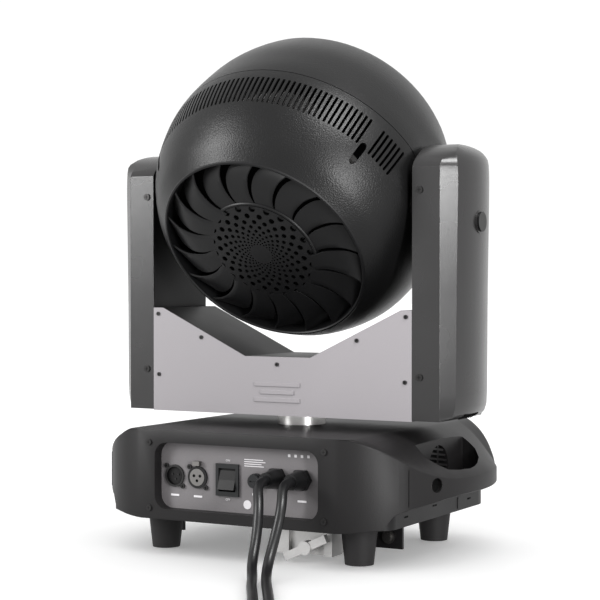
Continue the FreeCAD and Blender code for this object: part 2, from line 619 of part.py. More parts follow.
def arm_solid(way, inset):
    """Outer form of an arm cover: bevelled plan, arched top and cut-off lower corner."""
    body = sketched_body("ArmForm")
    deep, edge_deep = val("arm_depth") - inset, val("arm_edge_depth") - 0.4 * inset
    start, flat = val("arm_inner") + (-1.0 if inset else 0.0), val("arm_flat") - 0.5 * inset
    edge, outer_x = val("arm_edge") - 0.9 * inset, val("arm_outer") - inset
    plan = [(way * start, -deep), (way * flat, -deep), (way * edge, -edge_deep), (way * outer_x, 0, "arc"),
            (way * edge, edge_deep), (way * flat, deep), (way * start, deep)]
    pad(body, "XY_Plane", plan, "arm_peak - arm_low", "arm_low")
    deep_far, top_far = val("arm_depth") + 40, val("arm_peak") + 40
    arch = [(-deep_far, val("arm_shoulder") - inset), (-deep, val("arm_shoulder") - inset),
            (0, val("arm_peak") - inset, "arc"), (deep, val("arm_shoulder") - inset),
            (deep_far, val("arm_shoulder") - inset), (deep_far, top_far), (-deep_far, top_far)]
    pocket(body, "YZ_Plane", arch, "600")
    low = val("arm_low")
    crown = [(way * 206, top_far), (way * 206, val("arm_peak") - 0.4 * inset),
             (way * 215, val("arm_peak") - 5 - inset), (way * 226, val("arm_peak") - 17 - inset),
             (way * 260, val("arm_peak") - 17 - inset), (way * 260, top_far)]
    pocket(body, "XZ_Plane", crown, "400")
    heel = [(way * 174, low - 20), (way * 174, low + inset), (way * 200, low + 14 + inset),
            (way * (240 - inset), low + 52 + inset), (way * 260, low - 20)]
    pocket(body, "XZ_Plane", heel, "400")
    return body


for label, way in (("arm_cover_right", 1), ("arm_cover_left", -1)):
    shell = arm_solid(way, 0.0)
    hollow = arm_solid(way, 2.5)
    inner_gap = box("6.0", "130", "340", f"{way} * (arm_inner - 0.6)", "0", "arm_low - 10")
    tools = [hollow, inner_gap]
    if way > 0:
        tools.append(rod("lock_size + 0.3", "60", "arm_outer - 20", "0", "lock_height", "x"))
    node(cut(shell, *tools), label)

node(fuse(rod("lock_size", "7", "arm_outer - 5.0", "0", "lock_height", "x"),
          rod("lock_size - 3", "20", "arm_outer - 24.0", "0", "lock_height", "x")), "tilt_lock_button")

motor_base = "pulley_low + belt_high + 4"
node(cut(box("motor_square", "motor_square", "pan_motor_tall", "pan_motor_place", "0", motor_base),
         rod("motor_bore", "60", "pan_motor_place", "0", "pulley_low")), "pan_motor")
node(fuse(rod("pan_pinion_size", "belt_high", "pan_motor_place", "0", "pulley_low"),
          rod("motor_shaft", "28", "pan_motor_place", "0", "pulley_low + 2")), "pan_pinion")
node(cut(box("tilt_motor_long", "motor_square", "motor_square", "-(arm_inner + 33)", "0",
             "tilt_motor_height - motor_square / 2"),
         rod("motor_bore", "60", "-(arm_inner + 50)", "0", "tilt_motor_height", "x")), "tilt_motor")
node(fuse(rod("tilt_pinion_size", "10", "-(arm_inner + 17)", "0", "tilt_motor_height", "x"),
          rod("motor_shaft", "30", "-(arm_inner + 40)", "0", "tilt_motor_height", "x")), "tilt_pinion")


def belt_shape(large, small, distance, thick, gap, wide):
    """A flat belt round two pulleys: large at the origin, small along +X."""
    def loop(extra):
        big, little = large + gap + extra, small + gap + extra
        lean = math.acos((big - little) / distance)
        tip = (math.cos(lean), math.sin(lean))
        points = [Vec(big * tip[0], big * tip[1], 0), Vec(-big, 0, 0), Vec(big * tip[0], -big * tip[1], 0),
                  Vec(distance + little * tip[0], -little * tip[1], 0), Vec(distance + little, 0, 0),
                  Vec(distance + little * tip[0], little * tip[1], 0)]
        edges = [Part.Arc(points[0], points[1], points[2]).toShape(),
                 Part.LineSegment(points[2], points[3]).toShape(),
                 Part.Arc(points[3], points[4], points[5]).toShape(),
                 Part.LineSegment(points[5], points[0]).toShape()]
        return Part.Face(Part.Wire(edges))
    return loop(thick).cut(loop(0.0)).extrude(Vec(0, 0, wide))


pan_belt = doc.addObject("Part::Feature", "PanBelt")
pan_belt.Shape = belt_shape(val("pan_pulley_size"), val("pan_pinion_size"), -val("pan_motor_place"),
                            val("belt_thick"), val("belt_gap"), val("belt_high") - 1)
pan_belt.Placement = FreeCAD.Placement(Vec(0, 0, val("pulley_low") + 0.5), FreeCAD.Rotation(Vec(0, 0, 1), 180))
node(pan_belt, "pan_belt")
tilt_belt = doc.addObject("Part::Feature", "TiltBelt")
tilt_belt.Shape = belt_shape(val("tilt_pulley_size"), val("tilt_pinion_size"),
                             val("tilt_height") - val("tilt_motor_height"), val("belt_thick"),
                             val("belt_gap"), 8)
tilt_belt.Placement = FreeCAD.Placement(Vec(-val("arm_inner") - 16, 0, val("tilt_height")),
                                        FreeCAD.Rotation(Vec(0, 1, 0), 90))
node(tilt_belt, "tilt_belt")

plate_spots = [(163.5, 269.5), (-163.5, 269.5), (102.8, 242.4), (-102.8, 242.4), (162.5, 197.3),
               (-162.5, 197.3), (0, 213)]
plate_screws = [rod("2.4", "1.0", str(x), f"-arm_depth - 1.1", str(z), "y") for x, z in plate_spots]
plate_screws += [rod("2.4", "1.0", str(x), f"arm_depth + 0.1", str(z), "y") for x, z in plate_spots]
node(group(*plate_screws), "plate_screws")
arm_screws = [rod("4.0", "1.3", str(way * 179.8), face, str(z), "y") for way in (1, -1)
              for z in (409.1, 203.3) for face in ("-arm_depth - 1.4", "arm_depth + 0.1")]
node(group(*arm_screws), "arm_screws")


# ---------------------------------------------------------------- head

PROFILE = [(-114.5, 122.5), (-95.0, 141.5), (-60.0, 161.5), (-30.0, 169.5), (-6.5, 172.0),
           (20.0, 170.5), (60.0, 164.0), (100.0, 150.0), (130.0, 126.0)]


VANES = 18


def tilted(item):
    """Turn a head part from its drawing pose to its rest tilt and lift it to the tilt axis."""
    if item.TypeId == "Part::Cylinder":
        item = group(item)
    turn = FreeCAD.Rotation(Vec(1, 0, 0), val("tilt_rest"))
    doc.recompute()
    item.Placement = FreeCAD.Placement(Vec(0, 0, val("tilt_height")), turn).multiply(item.Placement)
    item.setExpression("Placement.Base.z", "Sizes.tilt_height")
    return item


def head_solid(stations, inset, flat):
    """A turned form between stations, flattened on both sides."""
    body = sketched_body("HeadForm")
    edge = [(radius - inset, along) for along, radius in stations]
    points = [(0.0, stations[0][0])] + edge + [(0.0, stations[-1][0])]
    revolve(body, points)
    slab = box(f"2 * ({flat})", "400", "400", "0", "0", "-200")
    return common(body, slab)


seam = -val("seam_station")
rear_stations = [p for p in PROFILE if p[0] <= seam]
front_stations = [(seam + 0.3, rear_stations[-1][1])] + [p for p in PROFILE if p[0] > seam]


def stretched(stations):
    """The same stations, carried past both ends so that a hollow opens there."""
    first, last = stations[0], stations[-1]
    return [(first[0] - 5, first[1] - 1)] + stations + [(last[0] + 5, last[1] - 1)]


rear_shell = cut(head_solid(rear_stations, 0.0, "head_flat"),
                 head_solid(stretched(rear_stations), 3.5, "head_flat - 3"),
                 rod("hub_size + 1", "400", "-200", "0", "0", "x"))
node(tilted(rear_shell), "head_rear_shell")
front_shell = cut(head_solid(front_stations, 0.0, "head_flat"),
                  head_solid(stretched(front_stations), 3.5, "head_flat - 3"),
                  rod("hub_size + 1", "400", "-200", "0", "0", "x"))
node(tilted(front_shell), "head_front_shell")

grille_plate = fuse(rod("grille_size - 2.5", "4", "0", "-106", "0", "y"),
                    rod("grille_hub", "13", "0", "-116", "0", "y"))
openings = [turned(box("5", "30", "45", "0", "-104", "grille_hub + 3"), step * 360.0 / VANES, Vec(0, 1, 0),
                   Vec()) for step in range(VANES)]
node(tilted(cut(grille_plate, *openings)), "rear_grille")

fins = []
for across in range(-96, 97, 16):
    half = round(math.sqrt(val("guide_height") ** 2 - across ** 2))
    fins.append(box("fin_thick", "fin_deep", str(2 * half), str(across), "-50", str(-half)))
lugs = [box("36", "44", "24", f"{way} * 134", "-10", "-12") for way in (1, -1)]
guides = [rod("guide_size", "120", "0", "-26", f"{side} * guide_height", "y")
          for side in (-1, 1)]
node(tilted(fuse(rod("sink_plate", "8", "0", "sink_place", "0", "y"),
                 rod("fan_axle", "56", "0", "-86", "0", "y"), *fins, *lugs,
                 *guides)), "heat_sink")
node(tilted(rod("106", "2", "0", "-23.9", "0", "y")), "led_board")
carrier = common(rod("carrier_size", "4", "0", "10", "0", "y"), box("224", "10", "300", "0", "12", "-150"))
node(tilted(cut(carrier,
                *[rod("guide_size + 0.05", "20", "0", "0", f"{side} * guide_height", "y")
                  for side in (-1, 1)])), "zoom_carrier")
node(tilted(rod("front_lens", "6", "0", "front_station - 8", "0", "y")), "lens_plate")
blades = [turned(box("9", "12", "30", "0", "-78", "12"), step * 45.0, Vec(0, 1, 0), Vec())
          for step in range(8)]
node(tilted(cut(fuse(rod("fan_hub", "14", "0", "-85", "0", "y"), *blades),
                rod("fan_axle + 0.1", "40", "0", "-100", "0", "y"))),
     "fan_rotor")
hubs = [fuse(rod("hub_size", "39.8", f"{152.2 if way > 0 else -192}", "0", "0", "x"),
             rod("30", "7.6", f"{152.2 if way > 0 else -159.8}", "0", "0", "x")) for way in (1, -1)]
node(tilted(group(*hubs)), "tilt_hubs")
node(tilted(cut(rod("tilt_pulley_size", "10", "-(arm_inner + 17)", "0", "0", "x"),
                rod("hub_size + 0.02", "60", "-(arm_inner + 30)", "0", "0", "x"))), "tilt_pulley")


# ---------------------------------------------------------------- checks and export

doc.recompute()
for item in doc.Objects:
    if "Invalid" in item.State or "Error" in item.State:
        raise RuntimeError(f"{item.Name} {item.Label} failed: {item.State}")
for item in nodes:
    if item.Shape.isNull() or not item.Shape.isValid():
        raise RuntimeError(f"{item.Label} has no valid shape")
os.makedirs("parts", exist_ok=True)
for item in nodes:
    item.Shape.exportStep(f"parts/{item.Label}.step")
    bounds = item.Shape.BoundBox
    print(f"{item.Label}: {len(item.Shape.Solids)} solids, z {bounds.ZMin:.1f} to {bounds.ZMax:.1f}")
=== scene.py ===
import math
import bmesh
import bpy
from mathutils import Matrix, Vector
from mathutils.geometry import delaunay_2d_cdt


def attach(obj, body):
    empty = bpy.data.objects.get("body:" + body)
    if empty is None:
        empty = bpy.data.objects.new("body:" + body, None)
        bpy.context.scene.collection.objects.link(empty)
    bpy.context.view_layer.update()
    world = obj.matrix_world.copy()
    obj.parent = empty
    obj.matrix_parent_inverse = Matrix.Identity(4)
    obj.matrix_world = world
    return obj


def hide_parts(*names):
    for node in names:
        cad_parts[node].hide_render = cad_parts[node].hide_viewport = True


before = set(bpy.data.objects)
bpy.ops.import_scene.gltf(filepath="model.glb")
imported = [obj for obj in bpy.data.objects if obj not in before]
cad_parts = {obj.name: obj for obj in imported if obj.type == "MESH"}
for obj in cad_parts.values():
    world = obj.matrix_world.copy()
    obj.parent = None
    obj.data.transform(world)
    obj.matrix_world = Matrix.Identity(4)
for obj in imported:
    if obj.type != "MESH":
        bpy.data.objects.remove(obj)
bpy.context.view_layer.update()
MM = 0.001

# ---------------------------------------------------------------- materials

BROAD_GRAIN, ROUGHNESS_SPREAD, RELIEF_DEPTH = 14.0, 0.06, 0.0004


def material(name, colour, roughness, metallic=0.0, grain=700.0, bump=0.12, variation=0.12, coat=0.0,
             stretch=(1.0, 1.0, 1.0), specular=0.5):
    """A moulded, painted or metal surface with fine grain in its colour and relief."""
    made = bpy.data.materials.new(name)
    made.use_nodes = True
    nodes, links = made.node_tree.nodes, made.node_tree.links
    shader = nodes["Principled BSDF"]
    shader.inputs["Metallic"].default_value = metallic
    shader.inputs["Coat Weight"].default_value = coat
    shader.inputs["Specular IOR Level"].default_value = specular
    place = nodes.new("ShaderNodeTexCoord")
    scale = nodes.new("ShaderNodeMapping")
    scale.inputs["Scale"].default_value = stretch
    fine = nodes.new("ShaderNodeTexNoise")
    fine.inputs["Scale"].default_value = grain
    fine.inputs["Detail"].default_value = 2.0
    broad = nodes.new("ShaderNodeTexNoise")
    broad.inputs["Scale"].default_value = BROAD_GRAIN
    mix = nodes.new("ShaderNodeMix")
    mix.data_type = "RGBA"
    mix.inputs["A"].default_value = [c * (1 - variation) for c in colour] + [1.0]
    mix.inputs["B"].default_value = [min(1.0, c * (1 + variation)) for c in colour] + [1.0]
    rough = nodes.new("ShaderNodeMapRange")
    rough.inputs["To Min"].default_value = max(0.03, roughness - ROUGHNESS_SPREAD)
    rough.inputs["To Max"].default_value = min(1.0, roughness + ROUGHNESS_SPREAD)
    relief = nodes.new("ShaderNodeBump")
    relief.inputs["Strength"].default_value = bump
    relief.inputs["Distance"].default_value = RELIEF_DEPTH
    links.new(place.outputs["Object"], scale.inputs["Vector"])
    links.new(scale.outputs["Vector"], fine.inputs["Vector"])
    links.new(place.outputs["Object"], broad.inputs["Vector"])
    links.new(fine.outputs["Fac"], mix.inputs["Factor"])
    links.new(mix.outputs["Result"], shader.inputs["Base Color"])
    links.new(broad.outputs["Fac"], rough.inputs["Value"])
    links.new(rough.outputs["Result"], shader.inputs["Roughness"])
    links.new(fine.outputs["Fac"], relief.inputs["Height"])
    links.new(relief.outputs["Normal"], shader.inputs["Normal"])
    return made


HEAD_PLASTIC = material("head_plastic", (0.0035, 0.0035, 0.0036), 0.34, grain=620.0, bump=0.75,
                        specular=0.20)
GRILLE_PLASTIC = material("grille_plastic", (0.0030, 0.0030, 0.0032), 0.40, bump=0.12, specular=0.20)
ARM_PLASTIC = material("arm_plastic", (0.0085, 0.0081, 0.0083), 0.27, grain=900.0, specular=0.45)
BASE_PLASTIC = material("base_plastic", (0.0062, 0.0058, 0.0060), 0.46, grain=800.0, bump=0.25,
                        specular=0.15)
PLATE_PAINT = material("plate_paint", (0.172, 0.162, 0.170), 0.40, grain=1500.0, bump=0.10,
                       variation=0.30)
PANEL_PAINT = material("panel_paint", (0.098, 0.092, 0.095), 0.5, grain=1100.0, bump=0.08, specular=0.3)
DARK_STEEL = material("dark_steel", (0.0050, 0.0048, 0.0050), 0.42, grain=500.0, specular=0.14)
BLACK_PLASTIC = material("black_plastic", (0.0030, 0.0030, 0.0032), 0.34, grain=1200.0, bump=0.06,
                         specular=0.25)
SWITCH_PLASTIC = material("switch_plastic", (0.0065, 0.0070, 0.0075), 0.35, grain=1200.0, bump=0.05,
                          specular=0.25)
RUBBER = material("foot_rubber", (0.0120, 0.0114, 0.0117), 0.60, grain=600.0, bump=0.2, specular=0.2)
CORD_RUBBER = material("cord_rubber", (0.0040, 0.0040, 0.0043), 0.34, grain=900.0, bump=0.08,
                       specular=0.28)
SILVER = material("cast_silver", (0.44, 0.435, 0.43), 0.36, metallic=0.85, grain=400.0, bump=0.10,
                  variation=0.06)
STEEL = material("turned_steel", (0.62, 0.61, 0.60), 0.28, metallic=1.0, grain=300.0, bump=0.05,
                 stretch=(1.0, 1.0, 9.0))
NICKEL = material("nickel", (0.16, 0.155, 0.15), 0.34, metallic=1.0, grain=800.0, bump=0.05)
SCREW_STEEL = material("screw_steel", (0.018, 0.0175, 0.0175), 0.34, metallic=0.7, grain=900.0,
                       bump=0.1)
# Near-black and hardly reflective: painted shade inside holes, slits, screw recesses and behind the
# grilles, and also the dark joints at the seams.
PAINTED_SHADE_AND_JOINTS = material("painted_shade_and_dark_joints", (0.002, 0.002, 0.002), 0.9, specular=0.05)
INK = material("white_ink", (0.42, 0.41, 0.42), 0.6, grain=1500.0, bump=0.02)
LENS = material("lens_glass", (0.05, 0.055, 0.065), 0.06, grain=60.0, bump=0.0, coat=0.6)
DISPLAY = material("display_glass", (0.004, 0.005, 0.008), 0.08, grain=80.0, bump=0.0, coat=0.5)


# ---------------------------------------------------------------- mesh tools

def finish_mesh(obj, sharp=32.0):
    """Shades an object smooth, with hard edges where its faces turn by more than an angle."""
    for face in obj.data.polygons:
        face.use_smooth = True
    obj.data.set_sharp_from_angle(angle=math.radians(sharp))


def piece(name, points, faces, mat, body=None, nodes=(), slot=None, bevel=0.0, sharp=32.0, turn=None):
    """A mesh from points in millimetres; it rides on a body and may stand for CAD nodes."""
    mesh = bpy.data.meshes.new(name)
    mesh.from_pydata([Vector(p) * MM for p in points], [], faces)
    if turn is not None:
        mesh.transform(turn)
    mesh.validate()
    cleaned = bmesh.new()
    cleaned.from_mesh(mesh)
    bmesh.ops.remove_doubles(cleaned, verts=cleaned.verts, dist=1e-6)
    bmesh.ops.recalc_face_normals(cleaned, faces=cleaned.faces)
    cleaned.to_mesh(mesh)
    cleaned.free()
    mesh.materials.append(mat)
    obj = bpy.data.objects.new(name, mesh)
    bpy.context.collection.objects.link(obj)
    finish_mesh(obj, sharp)
    if bevel:
        soften(obj, bevel)
    if body:
        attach(obj, body)
    if nodes:
        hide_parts(*nodes)
    return obj


def soften(obj, width):
    """Rounds an object's hard edges."""
    bevel = obj.modifiers.new("Rounded", "BEVEL")
    bevel.width = width * MM
    bevel.segments = 2
    bevel.limit_method = "ANGLE"
    bevel.angle_limit = math.radians(30.0)
    bevel.harden_normals = True


def stitched(rings, closed=True, cap_start=False, cap_end=False, loop=False):
    """Points and faces of a surface through rings of equal length."""
    count = len(rings[0])
    points = [p for ring in rings for p in ring]
    faces = []
    spans = len(rings) if loop else len(rings) - 1
    for row in range(spans):
        a, b = row * count, ((row + 1) % len(rings)) * count
        for col in range(count if closed else count - 1):
            nxt = (col + 1) % count
            faces.append((a + col, a + nxt, b + nxt, b + col))
    if cap_start:
        faces.append(tuple(range(count)))
    if cap_end:
        faces.append(tuple(range((len(rings) - 1) * count, len(rings) * count)))
    return points, faces


def circle(radius, high, sides):
    """Points round local Z at one height."""
    return [(radius * math.cos(2 * math.pi * i / sides), radius * math.sin(2 * math.pi * i / sides), high)
            for i in range(sides)]


def lathe(profile, sides=48, loop=False):
    """A turned form about local Z from (radius, height) pairs; both ends are capped unless it loops."""
    rings = [circle(max(r, 0.01), h, sides) for r, h in profile]
    return stitched(rings, loop=loop, cap_start=not loop, cap_end=not loop)


def aim(origin, axis):
    """A matrix that puts local Z along an axis at a point given in millimetres."""
    turn = Vector(axis).to_track_quat("Z", "Y").to_matrix().to_4x4()
    return Matrix.Translation(Vector(origin) * MM) @ turn


def prism(outline, low, high):
    """An upright form between two heights."""
    rings = [[(x, y, low) for x, y in outline], [(x, y, high) for x, y in outline]]
    return stitched(rings, cap_start=True, cap_end=True)


def block(size, centre):
    """A box of a size round a centre."""
    sx, sy, sz = (v / 2 for v in size)
    cx, cy, cz = centre
    ring = [(-sx, -sy), (sx, -sy), (sx, sy), (-sx, sy)]
    return prism([(cx + x, cy + y) for x, y in ring], cz - sz, cz + sz)


def rounded_rect(half_x, half_y, corner, steps=6):
    """An outline round the middle, with round corners."""
    points = []
    for quarter, (sx, sy) in enumerate(((1, 1), (-1, 1), (-1, -1), (1, -1))):
        for step in range(steps + 1):
            angle = math.pi / 2 * (quarter + step / steps)
            points.append((sx * (half_x - corner) + corner * math.cos(angle),
                           sy * (half_y - corner) + corner * math.sin(angle)))
    return points


def merged(*parts):
    """Several (points, faces) pairs as one."""
    points, faces = [], []
    for some_points, some_faces in parts:
        start = len(points)
        points += list(some_points)
        faces += [tuple(i + start for i in face) for face in some_faces]
    return points, faces


def moved(part, matrix):
    """A part in millimetres, moved by a matrix in metres."""
    points, faces = part
    return [tuple(matrix @ (Vector(p) * MM) / MM) for p in points], faces


def bake(obj):
    """Makes an object's modifiers part of its mesh, and marks its hard edges again."""
    graph = bpy.context.evaluated_depsgraph_get()
    mesh = bpy.data.meshes.new_from_object(obj.evaluated_get(graph))
    obj.modifiers.clear()
    obj.data = mesh
    finish_mesh(obj)


def thicken(obj, wall):
    """Gives an open surface a wall on its inner side."""
    skin = obj.modifiers.new("Wall", "SOLIDIFY")
    skin.thickness = wall * MM
    skin.offset = -1.0
    bake(obj)


def carve(obj, cutter):
    """Cuts one closed form, given as points and faces, out of an object for good."""
    tool = piece("cutter", *cutter, PAINTED_SHADE_AND_JOINTS)
    change = obj.modifiers.new("Carve", "BOOLEAN")
    change.operation = "DIFFERENCE"
    change.solver = "EXACT"
    change.use_self = True
    change.object = tool
    bake(obj)
    bpy.data.objects.remove(tool)


def smooth_through(stations, value):
    """A smooth curve through (place, value) stations."""
    count = len(stations)
    if value <= stations[0][0]:
        return stations[0][1]
    if value >= stations[-1][0]:
        return stations[-1][1]

    def slope(i):
        before, after = stations[max(i - 1, 0)], stations[min(i + 1, count - 1)]
        return (after[1] - before[1]) / (after[0] - before[0])

    index = max(i for i in range(count - 1) if stations[i][0] <= value)
    (x0, y0), (x1, y1) = stations[index], stations[index + 1]
    span = x1 - x0
    t = (value - x0) / span
    m0, m1 = slope(index) * span, slope(index + 1) * span
    return ((2 * t ** 3 - 3 * t ** 2 + 1) * y0 + (t ** 3 - 2 * t ** 2 + t) * m0
            + (-2 * t ** 3 + 3 * t ** 2) * y1 + (t ** 3 - t ** 2) * m1)


def along(stations, value):
    """Straight-line interpolation through (place, value) stations."""
    if value <= stations[0][0]:
        return stations[0][1]
    for (x0, y0), (x1, y1) in zip(stations, stations[1:]):
        if value <= x1:
            return y0 + (y1 - y0) * (value - x0) / (x1 - x0)
    return stations[-1][1]


def dress(mat, *names, bevel=0.0):
    """Gives CAD nodes a finish, and rounds their edges."""
    for name in names:
        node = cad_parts[name]
        node.data.materials.clear()
        node.data.materials.append(mat)
        if bevel:
            soften(node, bevel)


TEXT_THICK = 0.15


def text(name, words, size, matrix, mat, body):
    """Raised lettering, centred on a point."""
    curve = bpy.data.curves.new(name, "FONT")
    curve.body = words
    curve.size = size * MM
    curve.align_x = "CENTER"
    curve.align_y = "CENTER"
    curve.extrude = TEXT_THICK * MM
    font = bpy.data.objects.new(name, curve)
    bpy.context.collection.objects.link(font)
    mesh = bpy.data.meshes.new_from_object(font)
    bpy.data.objects.remove(font)
    mesh.transform(matrix)
    mesh.materials.append(mat)
    obj = bpy.data.objects.new(name, mesh)
    bpy.context.collection.objects.link(obj)
    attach(obj, body)


# ---------------------------------------------------------------- head

TILT_HEIGHT, TILT_REST = 414.0, 38.4
HEAD = Matrix.Translation((0.0, 0.0, TILT_HEIGHT * MM)) @ Matrix.Rotation(math.radians(TILT_REST), 4, "X")
HEAD_FLAT = 163.0
PROFILE = [(-114.5, 122.5), (-95.0, 141.5), (-60.0, 161.5), (-30.0, 169.5), (-6.5, 172.0),
           (20.0, 170.5), (60.0, 164.0), (100.0, 149.0), (115.0, 137.4), (129.5, 125.6)]
SEAM, SEAM_GAP = -6.5, 0.5
SHELL_WALL = 2.5
VENT_PITCH, VENT_HALF = 2.13, 0.52
SIDE_VENTS = (57.5, 59.6, 61.8, 64.0, 66.1, 68.4)
OVAL_PLACE, OVAL_HALF = 54.2, 1.5
UPPER_VENTS, UPPER_SPAN = 24, (-56.5, -19.5)
SIDE_SPAN, OVAL_SPAN = (-57.3, -20.3), (-77.0, -50.0)
SHELL_ROWS, COLUMN_ANGLE = 18, 4.0
END_REACH, NARROWEST = 3.0, 0.25
FINE_SIDES = 120


def on_head(angle, radius, station):
    """A head point at an angle clockwise from the top as seen from behind, clamped to the side flats."""
    across = radius * math.sin(math.radians(angle))
    across = max(-HEAD_FLAT, min(HEAD_FLAT, across))
    return (across, station, radius * math.cos(math.radians(angle)))


def vent_openings():
    """(centre angle, half width, rear station, front station) of every opening in the rear shell."""
    openings = [(VENT_PITCH * k, VENT_HALF, *UPPER_SPAN) for k in range(-UPPER_VENTS, UPPER_VENTS + 1)]
    for way in (1, -1):
        openings += [(way * place, VENT_HALF, *SIDE_SPAN) for place in SIDE_VENTS]
        openings.append((way * OVAL_PLACE, OVAL_HALF, *OVAL_SPAN))
    return sorted(openings)


def shell_strip(name, first, last, openings, mat, node):
    """Half of the head shell as a grid, left open at its vents, whose ends are rounded."""
    rows = {first, last}
    rows |= {first + (last - first) * i / SHELL_ROWS for i in range(SHELL_ROWS + 1)}
    for _, half, rear, front in openings:
        reach = END_REACH * half
        rows |= {rear, rear + 0.3 * reach, rear + reach, front - reach, front - 0.3 * reach, front}
    rows = sorted(rows)
    rows = [r for i, r in enumerate(rows) if i == 0 or r - rows[i - 1] > 0.05]
    columns, cursor = [], -180.0
    for centre, half, rear, front in openings:
        gap = centre - half - cursor
        count = max(1, round(gap / COLUMN_ANGLE))
        columns += [(cursor + gap * i / count, None) for i in range(count)]
        columns.append((centre - half, (centre, half, rear, front)))
        cursor = centre + half
    count = round((180.0 - cursor) / COLUMN_ANGLE)
    columns += [(cursor + (180.0 - cursor) * i / count, None) for i in range(count)]
    widths = []
    for i, (angle, _) in enumerate(columns):
        before = columns[i - 1][1]
        widths.append(before if before and abs(before[0] + before[1] - angle) < 1e-6 else None)

    def narrowed(opening, row):
        """How much of an opening's width is left at a row near its rounded ends."""
        _, half, rear, front = opening
        reach = END_REACH * half
        near = min(row - rear, front - row)
        if near >= reach or near < -0.05:
            return 1.0
        return max(NARROWEST, math.sqrt(max(0.0, 1 - (1 - near / reach) ** 2)))

    points = []
    for row in rows:
        radius = smooth_through(PROFILE, row)
        for (angle, opening), closing in zip(columns, widths):
            if opening:
                angle = opening[0] - opening[1] * narrowed(opening, row)
            elif closing:
                angle = closing[0] + closing[1] * narrowed(closing, row)
            points.append(on_head(angle, radius, row))
    count, faces = len(columns), []
    for r in range(len(rows) - 1):
        middle = (rows[r] + rows[r + 1]) / 2
        for c in range(count):
            opening = columns[c][1]
            if opening and opening[2] < middle < opening[3]:
                continue
            nxt = (c + 1) % count
            faces.append((r * count + c, r * count + nxt, (r + 1) * count + nxt, (r + 1) * count + c))
    made = piece(name, points, faces, mat, turn=HEAD, sharp=40.0)
    thicken(made, SHELL_WALL)
    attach(made, "head")
    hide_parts(node)


shell_strip("rear_shell_skin", PROFILE[0][0], SEAM - SEAM_GAP, vent_openings(), HEAD_PLASTIC,
            "head_rear_shell")
shell_strip("front_shell_skin", SEAM + SEAM_GAP, PROFILE[-1][0], [], HEAD_PLASTIC, "head_front_shell")
AXIAL = HEAD @ Matrix.Rotation(math.radians(-90.0), 4, "X")

# dark band behind the seam, cut flat beside the side flats
BAND_OUTER, BAND_INNER, BAND_HALF, BAND_CLEARANCE = 168.5, 166.0, 3.0, 3.5
band_line = [(BAND_OUTER, SEAM - BAND_HALF), (BAND_OUTER, SEAM + BAND_HALF),
             (BAND_INNER, SEAM + BAND_HALF), (BAND_INNER, SEAM - BAND_HALF)]
band = piece("seam_band", *lathe(band_line, 96, loop=True), PAINTED_SHADE_AND_JOINTS, body="head", turn=AXIAL)
band_limit = (HEAD_FLAT - BAND_CLEARANCE) * MM
for corner in band.data.vertices:
    corner.co.x = max(-band_limit, min(band_limit, corner.co.x))

# rear grille: rolled rim, turned vanes round a perforated hub
VANES, HUB = 18, 66.0
# each row: radius, station and angle of the raised edge, station and angle of the low edge
EDGE = [(60, -115.7, -86.8, -116.0, -85.1), (75, -115.2, -92.2, -114.9, -89.3),
        (90, -114.5, -92.9, -112.9, -89.6), (105, -113.3, -91.0, -107.3, -86.7),
        (120, -110.6, -86.6, -98.9, -78.4)]
VANE_ROWS, VANE_COLUMNS, VANE_WALL = 13, 6, 2.2
VANE_INNER, VANE_LONG, VANE_CURL = 60.0, 60.0, 1.3
VANE_LIP_TURN, VANE_LIP_RISE = 0.7, 0.4


def vane(turn):
    """One petal, from its raised edge back to the low edge beside the petal before it."""
    pick = [[(row[0], row[i]) for row in EDGE] for i in (1, 2, 3, 4)]
    rings = []
    for i in range(VANE_ROWS):
        radius = VANE_INNER + VANE_LONG * i / (VANE_ROWS - 1)
        high, high_at, low, low_at = (smooth_through(stations, radius) for stations in pick)
        low_at -= 360.0 / VANES
        ring = []
        for j in range(VANE_COLUMNS):
            t = j / (VANE_COLUMNS - 1)
            station = low + (high - low) * t ** VANE_CURL
            ring.append(on_head(turn + low_at + (high_at - low_at) * t, radius, station))
        ring.append(on_head(turn + high_at + VANE_LIP_TURN, radius, high + VANE_LIP_RISE))
        rings.append(ring)
    return stitched(rings, closed=False)


vanes = piece("grille_vanes", *merged(*[vane(step * 360.0 / VANES) for step in range(VANES)]),
              GRILLE_PLASTIC, turn=HEAD, sharp=50.0)
thicken(vanes, VANE_WALL)
soften(vanes, 0.5)
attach(vanes, "head")
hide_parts("rear_grille")
rim_line = [(122.5, -112.0), (123.2, -114.0), (122.4, -115.6), (120.6, -116.0), (119.4, -114.8),
            (118.6, -104.0), (118.0, -92.0), (121.0, -92.0), (121.5, -108.0)]
piece("grille_rim", *lathe(rim_line, FINE_SIDES, loop=True), GRILLE_PLASTIC, body="head",
      slot="black_plastic", turn=AXIAL)
# Painted shade: a near-black disc behind the vanes, standing in for the shaded inside of the head.
grille_shade_line = [(60, -107), (92, -100), (118.3, -90), (118.3, -88), (60, -104)]
piece("grille_painted_shade", *lathe(grille_shade_line, 72, loop=True), PAINTED_SHADE_AND_JOINTS, body="head", slot="black_plastic",
      turn=AXIAL)

HUB_FACE, HUB_RISE, HUB_WALL, HUB_GAP = -116.0, 3.0, 1.6, 0.8
HOLE_RINGS, HOLES_ROUND, HOLE_SHRINK = 10, 22, 0.85
HOLE_FAR, HOLE_SIZE = 61.6, 4.1


def hub_holes():
    """(x, y, radius) of every hole of the hub, on rings that shrink toward the middle."""
    holes = []
    for ring in range(HOLE_RINGS):
        far = HOLE_FAR * HOLE_SHRINK ** ring
        for step in range(HOLES_ROUND):
            angle = 2 * math.pi * (step + 0.5 * (ring % 2)) / HOLES_ROUND
            holes.append((far * math.cos(angle), far * math.sin(angle), HOLE_SIZE * far / HOLE_FAR))
    return holes


